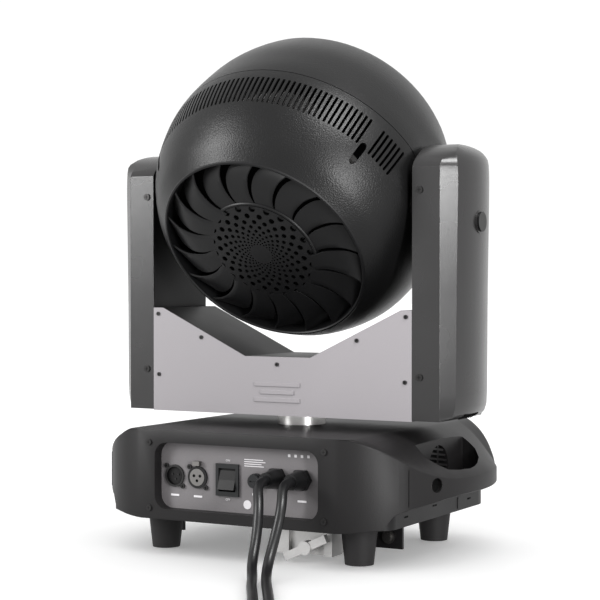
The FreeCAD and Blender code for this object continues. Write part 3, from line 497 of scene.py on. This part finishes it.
def perforated(radius, holes, hole_sides=8, rim_sides=88):
    """Triangles of a disc with round holes."""
    points, edges = [], []

    def loop(cx, cy, size, sides):
        start = len(points)
        for i in range(sides):
            angle = 2 * math.pi * i / sides
            points.append(Vector((cx + size * math.cos(angle), cy + size * math.sin(angle))))
            edges.append((start + i, start + (i + 1) % sides))

    loop(0.0, 0.0, radius, rim_sides)
    for cx, cy, size in holes:
        loop(cx, cy, size, hole_sides)
    flat, _, faces = delaunay_2d_cdt(points, edges, [], 1, 1e-6)[:3]
    kept = []
    for face in faces:
        mx = sum(flat[i].x for i in face) / 3
        my = sum(flat[i].y for i in face) / 3
        if all((mx - cx) ** 2 + (my - cy) ** 2 > (size * 0.9) ** 2 for cx, cy, size in holes):
            kept.append(tuple(face))
    return [(p.x, p.y) for p in flat], kept


disc_points, disc_faces = perforated(HUB - HUB_GAP, hub_holes())
domed = [(x, HUB_FACE - HUB_RISE * (1 - (x * x + y * y) / HUB ** 2), y) for x, y in disc_points]
disc = piece("grille_hub", domed, disc_faces, GRILLE_PLASTIC, turn=HEAD, sharp=50.0)
thicken(disc, HUB_WALL)
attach(disc, "head")
hub_rim = [(65.0, -115.6), (65.6, -117.0), (67.6, -117.0), (68.6, -115.8), (68.8, -111.0), (65.0, -111.0)]
piece("hub_rim", *lathe(hub_rim, 96, loop=True), GRILLE_PLASTIC, body="head", slot="black_plastic",
      turn=AXIAL)
# Painted shade: a near-black disc behind the hub's holes.
hub_painted_shade = [(0, -111.5), (65.4, -111.5), (65.4, -110.5), (0, -110.5)]
piece("hub_painted_shade", *lathe(hub_painted_shade, 64), PAINTED_SHADE_AND_JOINTS, body="head", turn=AXIAL)

# bright fins of the heat sink, seen through the upper vents
FIN_SPREAD, FIN_SHIFT, FIN_SPAN = 14, 0.25, (-50.0, -24.0)
FIN_SECTION = ((-0.12, 146), (0.12, 146), (0.12, 158), (-0.12, 158))
fins = []
for step in range(-FIN_SPREAD, FIN_SPREAD + 1):
    at = step * VENT_PITCH + FIN_SHIFT
    rings = [[on_head(at + lean, far, station) for lean, far in FIN_SECTION] for station in FIN_SPAN]
    fins.append(stitched(rings, cap_start=True, cap_end=True))
piece("vent_fins", *merged(*fins), SILVER, body="head", turn=HEAD, slot="aluminium")

# front: lip, dark lens plate and a cluster of lenses
LENS_STATION, LENS_SET_BACK = 129.6, 2.4
LENS_RINGS = ((6, 46.0), (12, 91.0))
lip_line = [(125.4, 128.6), (124.6, 129.6), (122.6, 129.2), (122.0, 122.0), (124.0, 122.0)]
piece("front_lip", *lathe(lip_line, FINE_SIDES, loop=True), HEAD_PLASTIC, body="head", turn=AXIAL)
lens_spots = [(0.0, 0.0)]
for count, far in LENS_RINGS:
    lens_spots += [(far * math.cos(2 * math.pi * i / count), far * math.sin(2 * math.pi * i / count))
                   for i in range(count)]
dome = lathe([(21.5, 0.0), (21.5, 1.0), (19.0, 1.8), (14.0, 2.3), (7.0, 2.6), (0.0, 2.7)], 32)
lenses = [moved(dome, Matrix.Translation(Vector((x, y, LENS_STATION - LENS_SET_BACK)) * MM))
          for x, y in lens_spots]
piece("lens_cluster", *merged(*lenses), LENS, body="head", slot="lens", turn=AXIAL)
dress(BLACK_PLASTIC, "lens_plate")
dress(SILVER, "heat_sink")
dress(DARK_STEEL, "led_board", "zoom_carrier", "fan_rotor", "tilt_hubs")
dress(STEEL, "tilt_pulley")

# ---------------------------------------------------------------- base shell

FLAT_HALF, BASE_REAR, BASE_FRONT = 125.0, 153.8, 165.0
REAR_RADIUS, SIDE_RADIUS, FRONT_RADIUS = 111.0, 238.15, 78.8
REAR_CORNER, FRONT_CORNER = (193.0, -112.5), (193.0, 126.0)
TOP, SHOULDER = 141.0, 140.0
CREASE = [(-153.8, 141.0), (-150.0, 139.8), (-145.0, 136.2), (-140.0, 131.6), (-130.0, 125.3),
          (-122.0, 119.6), (-112.5, 112.9), (-99.0, 105.9), (-81.0, 99.8), (-59.0, 95.2), (-34.0, 93.2),
          (0.0, 93.2), (34.0, 93.4), (90.0, 92.0), (126.0, 92.0), (140.0, 106.0), (155.0, 126.0),
          (165.0, 141.0)]
LOWER = [(-153.8, 40.0), (-140.0, 43.0), (-129.6, 44.0), (-129.2, 53.0), (-128.0, 57.0), (-122.0, 60.3),
         (-111.0, 64.8), (-99.0, 66.8), (-88.0, 68.2), (-64.0, 72.0), (-34.0, 74.5), (-2.0, 75.0),
         (100.0, 75.0), (126.0, 70.0), (150.0, 62.0), (165.0, 60.0)]
CAP_LOW, PAN_HALF = 78.0, 178.0
UNDER_SHARE, UNDER_REAR, UNDER_FRONT = 0.985, -139.0, 145.0
SHOULDER_STEPS, SHOULDER_CURL, EDGE_INSET = 12, 1.6, 1.2


def arc_between(start, end, radius, steps):
    """Points of the arc that bows outward between two points, without the last one."""
    a, b = Vector(start), Vector(end)
    middle, span = (a + b) / 2, b - a
    side = Vector((-span.y, span.x)).normalized()
    centre = middle + side * math.sqrt(radius ** 2 - (span.length / 2) ** 2)
    first = math.atan2(a.y - centre.y, a.x - centre.x)
    last = math.atan2(b.y - centre.y, b.x - centre.x)
    return [(centre.x + radius * math.cos(first + (last - first) * i / steps),
             centre.y + radius * math.sin(first + (last - first) * i / steps)) for i in range(steps)]


right_side = [(FLAT_HALF * i / 4, -BASE_REAR) for i in range(4)]
right_side += arc_between((FLAT_HALF, -BASE_REAR), REAR_CORNER, REAR_RADIUS, 14)
right_side += arc_between(REAR_CORNER, FRONT_CORNER, SIDE_RADIUS, 44)
right_side += arc_between(FRONT_CORNER, (FLAT_HALF, BASE_FRONT), FRONT_RADIUS, 14)
right_side += [(FLAT_HALF * (4 - i) / 4, BASE_FRONT) for i in range(5)]
base_plan = right_side + [(-x, y) for x, y in reversed(right_side[1:-1])]


def base_rings():
    """Rings of the base from its underside, up the wall and over the shoulder to the flat top."""
    def inward(x, y, gap):
        far = math.hypot(x, y)
        return x * (1 - gap / far), y * (1 - gap / far)

    def under(x, y):
        return (max(-PAN_HALF, min(PAN_HALF, x * UNDER_SHARE)),
                max(UNDER_REAR, min(UNDER_FRONT, y)))

    rings = [[(*under(x, y), CAP_LOW) for x, y in base_plan],
             [(*under(x, y), along(LOWER, y) + 0.6) for x, y in base_plan],
             [(*inward(x, y, 1.0), along(LOWER, y)) for x, y in base_plan],
             [(x, y, along(LOWER, y) + 1.0) for x, y in base_plan],
             [(x, y, along(CREASE, y) - 1.2) for x, y in base_plan],
             [(*inward(x, y, 0.5), along(CREASE, y) - 0.2) for x, y in base_plan]]
    for step in range(1, SHOULDER_STEPS + 1):
        t, ring = step / SHOULDER_STEPS, []
        for x, y in base_plan:
            low, reach = along(CREASE, y), max(abs(x) - SHOULDER, 0.0)
            now = math.copysign(abs(x) - reach * t, x) if reach else x
            lift = low + (TOP - low) * (1 - (1 - t) ** SHOULDER_CURL)
            back = max(-BASE_REAR + EDGE_INSET, min(BASE_FRONT - EDGE_INSET, y))
            ring.append((now, back, lift if reach else low + (TOP - low) * t))
        rings.append(ring)
    return rings


def tube_cut(radius, origin, axis, long):
    """A round cutter from a point along an axis."""
    return moved(lathe([(radius, 0), (radius, long)], 40), aim(origin, axis))


POCKET_PLAN = [(174, -57), (191, -66), (203, -55), (209.7, -46), (214.2, -26), (216.9, -4), (215.8, 12),
               (213, 25.5), (205.4, 47.6), (192.5, 67), (184, 70), (175, 71), (174, 68)]
POCKET_LOW, POCKET_HIGH = 40.0, 190.0
RECESS_HALF, RECESS_LOW, RECESS_HIGH, RECESS_CORNER, RECESS_DEEP = 105.0, 52.0, 127.0, 15.0, 15.0
WINDOW_HALF, WINDOW_HALF_TALL, WINDOW_CORNER, WINDOW_HIGH, WINDOW_DEEP = 92.0, 32.0, 6.0, 96.0, 5.0
CUT_REACH = 20.0
INTAKE = (174.0, 5.5, 96.0)
INTAKE_RADIUS, INTAKE_BEHIND, INTAKE_CUT = 27.0, 6, 12
BARS_EACH_WAY, BAR_PITCH, BAR_LEAN = 4, 5.6, 8
BAR_WALL, BAR_TALL, POST_WIDE, SHADE_PLATE_WALL, SHADE_PLATE_INSET = 1.6, 2.2, 2.4, 0.8, 5.6
PORT = (209.8, -77.0, 88.7)
PORT_AXIS = (0.936, -0.352, 0.0)
PORT_RADIUS, PORT_BEHIND, PORT_CUT = 8.0, 9, 20
HANDLE_SEAM, HANDLE_SEAM_SIZE = (193.1, -112.7, 88.0), (0.5, 0.6, 40.0)


def flipped(part):
    """The same part on the other side of the object."""
    points, faces = part
    return [(-x, y, z) for x, y, z in points], faces


base_shell = piece("base_shell", *stitched(base_rings(), cap_start=True, cap_end=True), BASE_PLASTIC)
half_tall = (RECESS_HIGH - RECESS_LOW) / 2
recess_ring = rounded_rect(RECESS_HALF, half_tall, RECESS_CORNER)
recess = moved(prism(recess_ring, -RECESS_DEEP, CUT_REACH),
               aim((0, -BASE_REAR, RECESS_LOW + half_tall), (0, -1, 0)))
carve(base_shell, recess)
window_ring = rounded_rect(WINDOW_HALF, WINDOW_HALF_TALL, WINDOW_CORNER)
window = moved(prism(window_ring, -WINDOW_DEEP, CUT_REACH), aim((0, BASE_FRONT, WINDOW_HIGH), (0, 1, 0)))
carve(base_shell, window)
pocket = prism(POCKET_PLAN, POCKET_LOW, POCKET_HIGH)
port = tube_cut(PORT_RADIUS, Vector(PORT) - PORT_BEHIND * Vector(PORT_AXIS), PORT_AXIS, PORT_CUT)
intake = tube_cut(INTAKE_RADIUS, Vector(INTAKE) - Vector((INTAKE_BEHIND, 0, 0)), (1, 0, 0), INTAKE_CUT)
for form in (pocket, port, intake):
    carve(base_shell, form)
    carve(base_shell, flipped(form))
soften(base_shell, 0.7)
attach(base_shell, "base")
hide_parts("base_top_cover", "side_handle_right", "side_handle_left")

for way, word in ((1, "right"), (-1, "left")):
    bars = []
    for step in range(-BARS_EACH_WAY, BARS_EACH_WAY + 1):
        high = step * BAR_PITCH
        half = math.sqrt(max(INTAKE_RADIUS ** 2 - high ** 2, 1.0))
        bar = block((BAR_WALL, 2 * half, BAR_TALL), (0, 0, 0))
        spot = Vector((way * (INTAKE[0] - BAR_WALL), INTAKE[1], INTAKE[2] + high))
        lean = Matrix.Translation(spot * MM) @ Matrix.Rotation(math.radians(-BAR_LEAN * way), 4, "X")
        bars.append(moved(bar, lean))
    bars.append(block((BAR_WALL, POST_WIDE, 2 * INTAKE_RADIUS - 1),
                      (way * (INTAKE[0] - BAR_WALL), INTAKE[1], INTAKE[2])))
    piece(f"intake_bars_{word}", *merged(*bars), BASE_PLASTIC, body="base", slot="body_plastic")
    # Painted shade: a near-black plate behind the intake bars, standing in for the shaded inside of the
    # intake.
    back = block((SHADE_PLATE_WALL, 2 * INTAKE_RADIUS, 2 * INTAKE_RADIUS),
                 (way * (INTAKE[0] - SHADE_PLATE_INSET), INTAKE[1], INTAKE[2]))
    piece(f"intake_painted_shade_{word}", *back, PAINTED_SHADE_AND_JOINTS, body="base")
    ring = lathe([(8.0, -1.0), (8.9, -0.8), (8.9, 0.3), (8.0, 0.5)], 40, loop=True)
    axis = (way * PORT_AXIS[0], PORT_AXIS[1], 0.0)
    spot = (way * (PORT[0] - 0.6), PORT[1] + 0.2, PORT[2])
    piece(f"port_ring_{word}", *moved(ring, aim(spot, axis)), NICKEL, body="base", slot="steel")
    # Painted shade: a near-black plug down inside the port.
    plug = lathe([(PORT_RADIUS, -8.0), (PORT_RADIUS, -5.0)], 32)
    piece(f"port_painted_shade_{word}", *moved(plug, aim(spot, axis)), PAINTED_SHADE_AND_JOINTS, body="base")
    seam = block(HANDLE_SEAM_SIZE, (way * HANDLE_SEAM[0], *HANDLE_SEAM[1:]))
    piece(f"handle_seam_{word}", *seam, PAINTED_SHADE_AND_JOINTS, body="base")

# ---------------------------------------------------------------- finishes of the CAD pieces

FINISHES = (
    (PANEL_PAINT, 0.0, ("connector_panel", "control_panel")),
    (DARK_STEEL, 0.4, ("base_bottom_pan", "omega_bracket", "power_supply")),
    (RUBBER, 2.0, ("rubber_feet",)),
    (SILVER, 0.8, ("clamp_body", "clamp_wing_bolt")),
    (STEEL, 0.5, ("pan_shaft", "pan_pulley", "pan_bearing", "pan_pinion", "tilt_pinion")),
    (BASE_PLASTIC, 0.4, ("power_switch_rocker",)),
    (BLACK_PLASTIC, 0.4, ("dmx_out_socket", "pan_motor", "tilt_motor", "pan_belt", "tilt_belt",
                          "tilt_lock_button", "power_in_plug", "power_out_connector",
                          "menu_button", "down_button", "up_button", "enter_button")),
    (BLACK_PLASTIC, 0.9, ("power_in_gland", "power_out_gland")),
    (NICKEL, 0.3, ("dmx_out_latch", "bracket_fasteners")),
    (SWITCH_PLASTIC, 0.6, ("power_switch_housing", "fuse_holder", "fuse_cap")),
    (DISPLAY, 0.3, ("display_window",)),
    (PLATE_PAINT, 0.5, ("yoke_rear_plate", "yoke_front_plate")),
    (DARK_STEEL, 0.5, ("yoke_frame",)),
    (SCREW_STEEL, 0.3, ("dmx_in_socket", "plate_screws", "arm_screws", "panel_screws")),
)
for finish, rounding, names in FINISHES:
    dress(finish, *names, bevel=rounding)

# ---------------------------------------------------------------- arm covers

ARM_INNER, ARM_FLAT, ARM_EDGE, ARM_OUTER = 170.7, 204.0, 219.5, 228.0
ARM_DEPTH, ARM_EDGE_DEPTH = 58.6, 44.0
ARM_SHOULDER, ARM_PEAK = 436.0, 462.0
ARM_REACH = [(155.2, 205.0), (158.0, 213.0), (162.0, 219.0), (170.0, 223.0), (184.0, 224.2), (300.0, 225.2),
             (405.0, 227.6), (434.0, 227.3), (446.0, 225.0), (453.0, 219.5), (458.0, 212.5), (461.4, 204.5)]
ARCH_RADIUS = (ARM_DEPTH ** 2 + (ARM_PEAK - ARM_SHOULDER) ** 2) / (2 * (ARM_PEAK - ARM_SHOULDER))
ARM_BOW = 9


def arm_depth_at(high):
    """Half the arm's depth at a height; it narrows under the arched top."""
    if high <= ARM_SHOULDER:
        return ARM_DEPTH
    return math.sqrt(max(ARCH_RADIUS ** 2 - (high - ARM_PEAK + ARCH_RADIUS) ** 2, 1.0))


def arm_ring(high):
    """Plan of an arm at a height: flat inside, bevelled flanks and a bowed outer face."""
    bow = [(ARM_EDGE + (ARM_OUTER - ARM_EDGE) * math.cos(math.pi * t / 2) ** 0.9, ARM_EDGE_DEPTH * t)
           for t in [-1 + 2 * i / (ARM_BOW - 1) for i in range(ARM_BOW)]]
    plan = [(ARM_INNER, -ARM_DEPTH), (ARM_FLAT, -ARM_DEPTH), *bow, (ARM_FLAT, ARM_DEPTH),
            (ARM_INNER, ARM_DEPTH)]
    reach, deep = smooth_through(ARM_REACH, high), arm_depth_at(high)
    share = (reach - ARM_FLAT) / (ARM_OUTER - ARM_FLAT)
    ring = []
    for x, y in plan:
        across = ARM_FLAT + (x - ARM_FLAT) * share if x > ARM_FLAT else x
        ring.append((across, max(-deep, min(deep, y)), high))
    return ring


arm_levels = [155.2, 158, 162, 170, 184, 230, 300, 360, 405, 422, 434, 440, 446, 450, 453, 456, 458,
              460, 461.4]
arm_form = stitched([arm_ring(high) for high in arm_levels], cap_start=True, cap_end=True)
for way, word in ((1, "right"), (-1, "left")):
    form = arm_form if way > 0 else flipped(arm_form)
    piece(f"arm_skin_{word}", *form, ARM_PLASTIC, body="yoke", nodes=(f"arm_cover_{word}",),
          slot="body_plastic", bevel=1.6, sharp=24.0)

LOCK_HEIGHT, LOCK_FACE = 375.0, 227.2
lock_form = lathe([(11.2, -1.5), (13.0, -1.2), (13.0, 0.2), (11.2, 0.4)], 40, loop=True)
lock_place = aim((LOCK_FACE, 0.0, LOCK_HEIGHT), (1, 0, 0))
piece("lock_ring", *moved(lock_form, lock_place), ARM_PLASTIC, body="yoke")

# ---------------------------------------------------------------- connector panel

PANEL_FACE = 139.9
DATA_HEIGHT, DATA_IN, DATA_OUT = 88.7, -86.3, -55.6
SWITCH_ACROSS, FUSE_ACROSS = -16.2, 20.7
HOLE_SPOTS = ((-4.0, 1.6), (4.0, 1.6), (0.0, -3.8))
CROSS_WIDE, CROSS_DEEP = 0.45, 0.2
FACING_REAR = Matrix.Rotation(math.pi / 2, 4, "X")


def on_panel(part, x, z):
    """A part drawn facing up, set on the connector panel facing the rear."""
    return moved(part, Matrix.Translation(Vector((x, -PANEL_FACE, z)) * MM) @ FACING_REAR)


# Painted shade: a near-black cup inside the data-in socket.
socket_shade = lathe([(0, -16.0), (10.15, -16.0), (10.15, 1.6), (9.6, 1.6), (9.6, -15.0), (0, -15.0)], 48)
piece("data_in_painted_shade", *on_panel(socket_shade, DATA_IN, DATA_HEIGHT), PAINTED_SHADE_AND_JOINTS, body="base")
face_disc = lathe([(0, 1.9), (9.6, 1.9), (9.6, 2.5), (0, 2.5)], 48)
piece("data_out_face", *on_panel(face_disc, DATA_OUT, DATA_HEIGHT), NICKEL, body="base", slot="steel")
# Painted shade: near-black discs in the pin holes of the data-out socket.
holes = [on_panel(lathe([(1.7, 2.3), (1.7, 2.7)], 20), DATA_OUT + x, DATA_HEIGHT + z)
         for x, z in HOLE_SPOTS]
piece("data_out_hole_shade", *merged(*holes), PAINTED_SHADE_AND_JOINTS, body="base")


def crosses(name, spots, body, face, way):
    """Painted shade of the cross recess of each screw head: thin near-black bars on a wall that faces -Y or
    +Y.
    """
    bars = []
    for x, z, reach in spots:
        for wide, tall in ((reach, CROSS_WIDE), (CROSS_WIDE, reach)):
            bars.append(block((wide, CROSS_DEEP, tall), (x, way * face, z)))
    piece(name, *merged(*bars), PAINTED_SHADE_AND_JOINTS, body=body)


PLATE_SPOTS = [(163.5, 269.5), (-163.5, 269.5), (102.8, 242.4), (-102.8, 242.4), (162.5, 197.3),
               (-162.5, 197.3), (0, 213)]
ARM_SPOTS = [(side * 179.8, high) for side in (1, -1) for high in (409.1, 203.3)]
for way, word in ((-1, "rear"), (1, "front")):
    crosses(f"plate_crosses_{word}", [(x, z, 2.8) for x, z in PLATE_SPOTS], "yoke", 59.85, way)
    crosses(f"arm_crosses_{word}", [(x, z, 4.6) for x, z in ARM_SPOTS], "yoke", 60.15, way)
crosses("bezel_crosses", [(side * 112.4, high, 3.8) for side in (1, -1) for high in (126.8, 52.3)],
        "base", 155.4, -1)
crosses("socket_crosses", [(x + side * 10.8, DATA_HEIGHT - side * 11.2, 3.2)
                           for x in (DATA_IN, DATA_OUT) for side in (1, -1)], "base", 142.0, -1)

PRINT_LIFT, LETTER_SIZE = 0.1, 3.6
for name, words, high in (("label_on", "ON", 109.5), ("label_off", "OFF", 66.0)):
    spot = Matrix.Translation(Vector((SWITCH_ACROSS, -PANEL_FACE - PRINT_LIFT, high)) * MM)
    text(name, words, LETTER_SIZE, spot @ FACING_REAR, INK, "base")
for name, x, z in (("label_data_in", DATA_IN, 67.0), ("label_data_out", DATA_OUT, 67.0),
                   ("label_fuse", FUSE_ACROSS, 74.0), ("label_cord", 78.0, 70.0)):
    tag = block((11.0, 0.2, 2.2), (x, -PANEL_FACE - 0.15, z))
    piece(name, *tag, INK, body="base")
# plain bars and squares where the panel carries print
LINE_START, LINE_TOP, LINE_PITCH, LINE_WIDTHS = 5.0, 112, 2.4, (24, 27, 22, 25)
MARK_START, MARK_PITCH, MARK_HIGH, MARK_COUNT = 62, 8, 119, 4
print_face = -PANEL_FACE - PRINT_LIFT
lines = [block((wide, 0.2, 0.9), (LINE_START + wide / 2, print_face, LINE_TOP - LINE_PITCH * i))
         for i, wide in enumerate(LINE_WIDTHS)]
lines += [block((3.0, 0.2, 3.0), (MARK_START + MARK_PITCH * i, print_face, MARK_HIGH))
          for i in range(MARK_COUNT)]
piece("print_blocks", *merged(*lines), INK, body="base")
sticker = on_panel(lathe([(5.0, 0.05), (5.0, 0.35)], 40), 9.0, 62.0)
piece("round_sticker", *sticker, INK, body="base")

SKIRT_FACE = 180.1
SKIRT_SLITS = ((-92.0, 54.5, 9.0), (-21.0, 58.0, 4.0), (-15.0, 58.0, 4.0), (78.0, 54.7, 9.0))
HEEL_START, HEEL_END = (205.0, 154.6), (220.0, 163.0)
HEEL_LEAN = math.atan2(HEEL_END[1] - HEEL_START[1], HEEL_END[0] - HEEL_START[0])
HEEL_VENTS, HEEL_VENT_PITCH = 6, 6.5
HEEL_VENT_ALONG, HEEL_VENT_UP = 8.0, 3.6
RIB_SIZE, RIB_PLACE = (1.2, 6.0, 13.0), (48.0, 53.0)
for way, word in ((1, "right"), (-1, "left")):
    # Painted shade: thin near-black blocks where the skirt has slits.
    slits = [block((0.4, long, 1.8), (way * SKIRT_FACE, y, z)) for y, z, long in SKIRT_SLITS]
    piece(f"skirt_slits_{word}", *merged(*slits), PAINTED_SHADE_AND_JOINTS, body="base")
    rib = block(RIB_SIZE, (way * SKIRT_FACE, *RIB_PLACE))
    piece(f"skirt_rib_{word}", *rib, DARK_STEEL, body="base", slot="painted_steel")
    # Painted shade: near-black blocks where the arm heel has vents.
    vents = []
    for step in range(HEEL_VENTS):
        spot = Vector((way * (HEEL_START[0] + HEEL_VENT_ALONG),
                       HEEL_VENT_PITCH * (step - (HEEL_VENTS - 1) / 2), HEEL_START[1] + HEEL_VENT_UP))
        lean = Matrix.Translation(spot * MM) @ Matrix.Rotation(-way * HEEL_LEAN, 4, "Y")
        vents.append(moved(block((11.0, 2.2, 1.2), (0, 0, 0)), lean))
    piece(f"heel_vents_{word}", *merged(*vents), PAINTED_SHADE_AND_JOINTS, body="yoke")

# plain raised bars on the yoke plates
EMBOSS_WIDTHS, EMBOSS_FACE, EMBOSS_TOP, EMBOSS_PITCH = (60, 44, 60), 58.7, 190, 9
for way, word in ((-1, "rear"), (1, "front")):
    bars = [block((wide, 2.6, 5.0), (0, way * EMBOSS_FACE, EMBOSS_TOP - EMBOSS_PITCH * i))
            for i, wide in enumerate(EMBOSS_WIDTHS)]
    piece(f"yoke_emboss_{word}", *merged(*bars), PLATE_PAINT, body="yoke", slot="brushed_plate", bevel=0.4)

# ---------------------------------------------------------------- cords

CORD_WAY, ACROSS_WAY = (0.4866, -0.8736), (0.8736, 0.4866)
CORD, CORD_LONG = 11.0, 1.2
COIL_AHEAD, COIL_STEPS, TURN_FIRST, TURN_LAST = 500, 32, 66.0, 43.0
TAIL_FAR, TAIL_HEIGHTS = 56.0, (10.0, 16.5, 21.0, 22.2)


def on_floor(ahead, across, high=5.6):
    """A cord point, by its distance from the object's middle along the cords' way out and across it."""
    x, y = (ahead * out + across * side for out, side in zip(CORD_WAY, ACROSS_WAY))
    return (x, y, high)


ROUTES = {
    "power_in": ([(47, -165.8, 93.5), (47, -183, 93.5), (61, -203, 73.0), (66, -216, 42.0),
                  (71, -235, 16.0), (85, -257, 6.5), on_floor(302, -51), on_floor(352, -48.5),
                  on_floor(404, -46.5), on_floor(455, -47)], -112.0, 1, "power_in_plug", "plug"),
    "power_out": ([(78, -165.8, 93.5), (78, -183, 93.5), (89, -203, 73.0), (88, -216, 42.0),
                   (90, -235, 16.0), (101, -257, 6.5), on_floor(305, -35.5), on_floor(354, -33),
                   on_floor(405, -31), on_floor(455, -31.5)], 36.0, -1, "power_out_connector", "connector"),
}
for word, (route, across, way, plug, far_end) in ROUTES.items():
    points = list(route)
    for i in range(COIL_STEPS + 1):
        angle = 4 * math.pi * i / COIL_STEPS
        far = TURN_FIRST + (TURN_LAST - TURN_FIRST) * i / COIL_STEPS
        points.append(on_floor(COIL_AHEAD + far * math.sin(angle), across + way * far * math.cos(angle)))
    for i, high in enumerate(TAIL_HEIGHTS, 1):
        share = i / len(TAIL_HEIGHTS)
        angle = math.pi / 2 * share
        far = TURN_LAST + (TAIL_FAR - TURN_LAST) * share
        points.append(on_floor(COIL_AHEAD + far * math.sin(angle), across + way * far * math.cos(angle),
                               high))
    curve = bpy.data.curves.new(f"{word}_cable", "CURVE")
    curve.dimensions = "3D"
    curve.bevel_depth = CORD / 2 * MM
    curve.bevel_resolution = 5
    spline = curve.splines.new("NURBS")
    spline.points.add(len(points) - 1)
    for spot, place in zip(spline.points, points):
        spot.co = (*(Vector(place) * MM), 1.0)
    spline.order_u = 3
    spline.use_endpoint_u = True
    spline.resolution_u = 6
    curve.materials.append(CORD_RUBBER)
    cable = bpy.data.objects.new(f"{word}_cable", curve)
    bpy.context.collection.objects.link(cable)
    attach(cable, "base")
    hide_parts(f"{word}_cord", f"{word}_coil")

# ---------------------------------------------------------------- studio

FLOOR_SIZE, FLOOR_DROP, FLOOR_GLOW = 30.0, 0.0005, 0.22
SKY_STRENGTH = 1.06
LAMPS = (
    ("key_left", (-1.9, -2.0, 1.3), (0, 0, 0.3), (0.8, 1.6), 95.0),
    ("top_light", (1.3, -0.6, 2.2), (0, 0, 0.4), (0.9, 0.9), 80.0),
    ("right_strip", (2.2, -1.40, 0.5), (0.2, 0, 0.3), (0.26, 1.1), 75.0),
)
bpy.ops.mesh.primitive_plane_add(size=FLOOR_SIZE, location=(0, 0, -FLOOR_DROP))
floor = bpy.context.object
floor.name = "studio_floor"
floor_white = material("studio_white", (0.96, 0.96, 0.96), 0.9, variation=0.0, bump=0.0)
floor_shader = floor_white.node_tree.nodes["Principled BSDF"]
floor_shader.inputs["Emission Color"].default_value = (1.0, 1.0, 1.0, 1.0)
floor_shader.inputs["Emission Strength"].default_value = FLOOR_GLOW
floor.data.materials.append(floor_white)

unlit = bpy.data.collections.new("lit_by_the_sky_alone")
unlit.objects.link(floor)
unlit.collection_objects[0].light_linking.link_state = "EXCLUDE"


def softbox(name, place, target, size, power):
    """A large soft light aimed at a point, all in metres; it leaves the floor evenly pale."""
    lamp = bpy.data.lights.new(name, "AREA")
    lamp.shape = "RECTANGLE"
    lamp.size, lamp.size_y = size
    lamp.energy = power
    obj = bpy.data.objects.new(name, lamp)
    obj.location = place
    obj.rotation_euler = (Vector(target) - Vector(place)).to_track_quat("-Z", "Y").to_euler()
    bpy.context.collection.objects.link(obj)
    obj.light_linking.receiver_collection = unlit


for lamp_row in LAMPS:
    softbox(*lamp_row)
world = bpy.data.worlds.new("studio_world")
world.use_nodes = True
world.node_tree.nodes["Background"].inputs["Color"].default_value = (1.0, 1.0, 1.0, 1.0)
world.node_tree.nodes["Background"].inputs["Strength"].default_value = SKY_STRENGTH
scene = bpy.context.scene
scene.world = world
scene.view_settings.view_transform = "Standard"

CAMERA_PLACE, CAMERA_TURN = (951.35, -1712.05, 315.34), math.radians(29.12)
AIM_SIDE, AIM_HIGH = -0.0022, 0.2863
camera_data = bpy.data.cameras.new("photo_camera")
camera_data.lens = 99.7
camera_data.sensor_width = 36.0
camera = bpy.data.objects.new("photo_camera", camera_data)
aim_point = Vector((AIM_SIDE * math.cos(CAMERA_TURN), AIM_SIDE * math.sin(CAMERA_TURN), AIM_HIGH))
camera.location = Vector(CAMERA_PLACE) * MM
camera.rotation_euler = (aim_point - camera.location).to_track_quat("-Z", "Y").to_euler()
bpy.context.collection.objects.link(camera)
scene.camera = camera
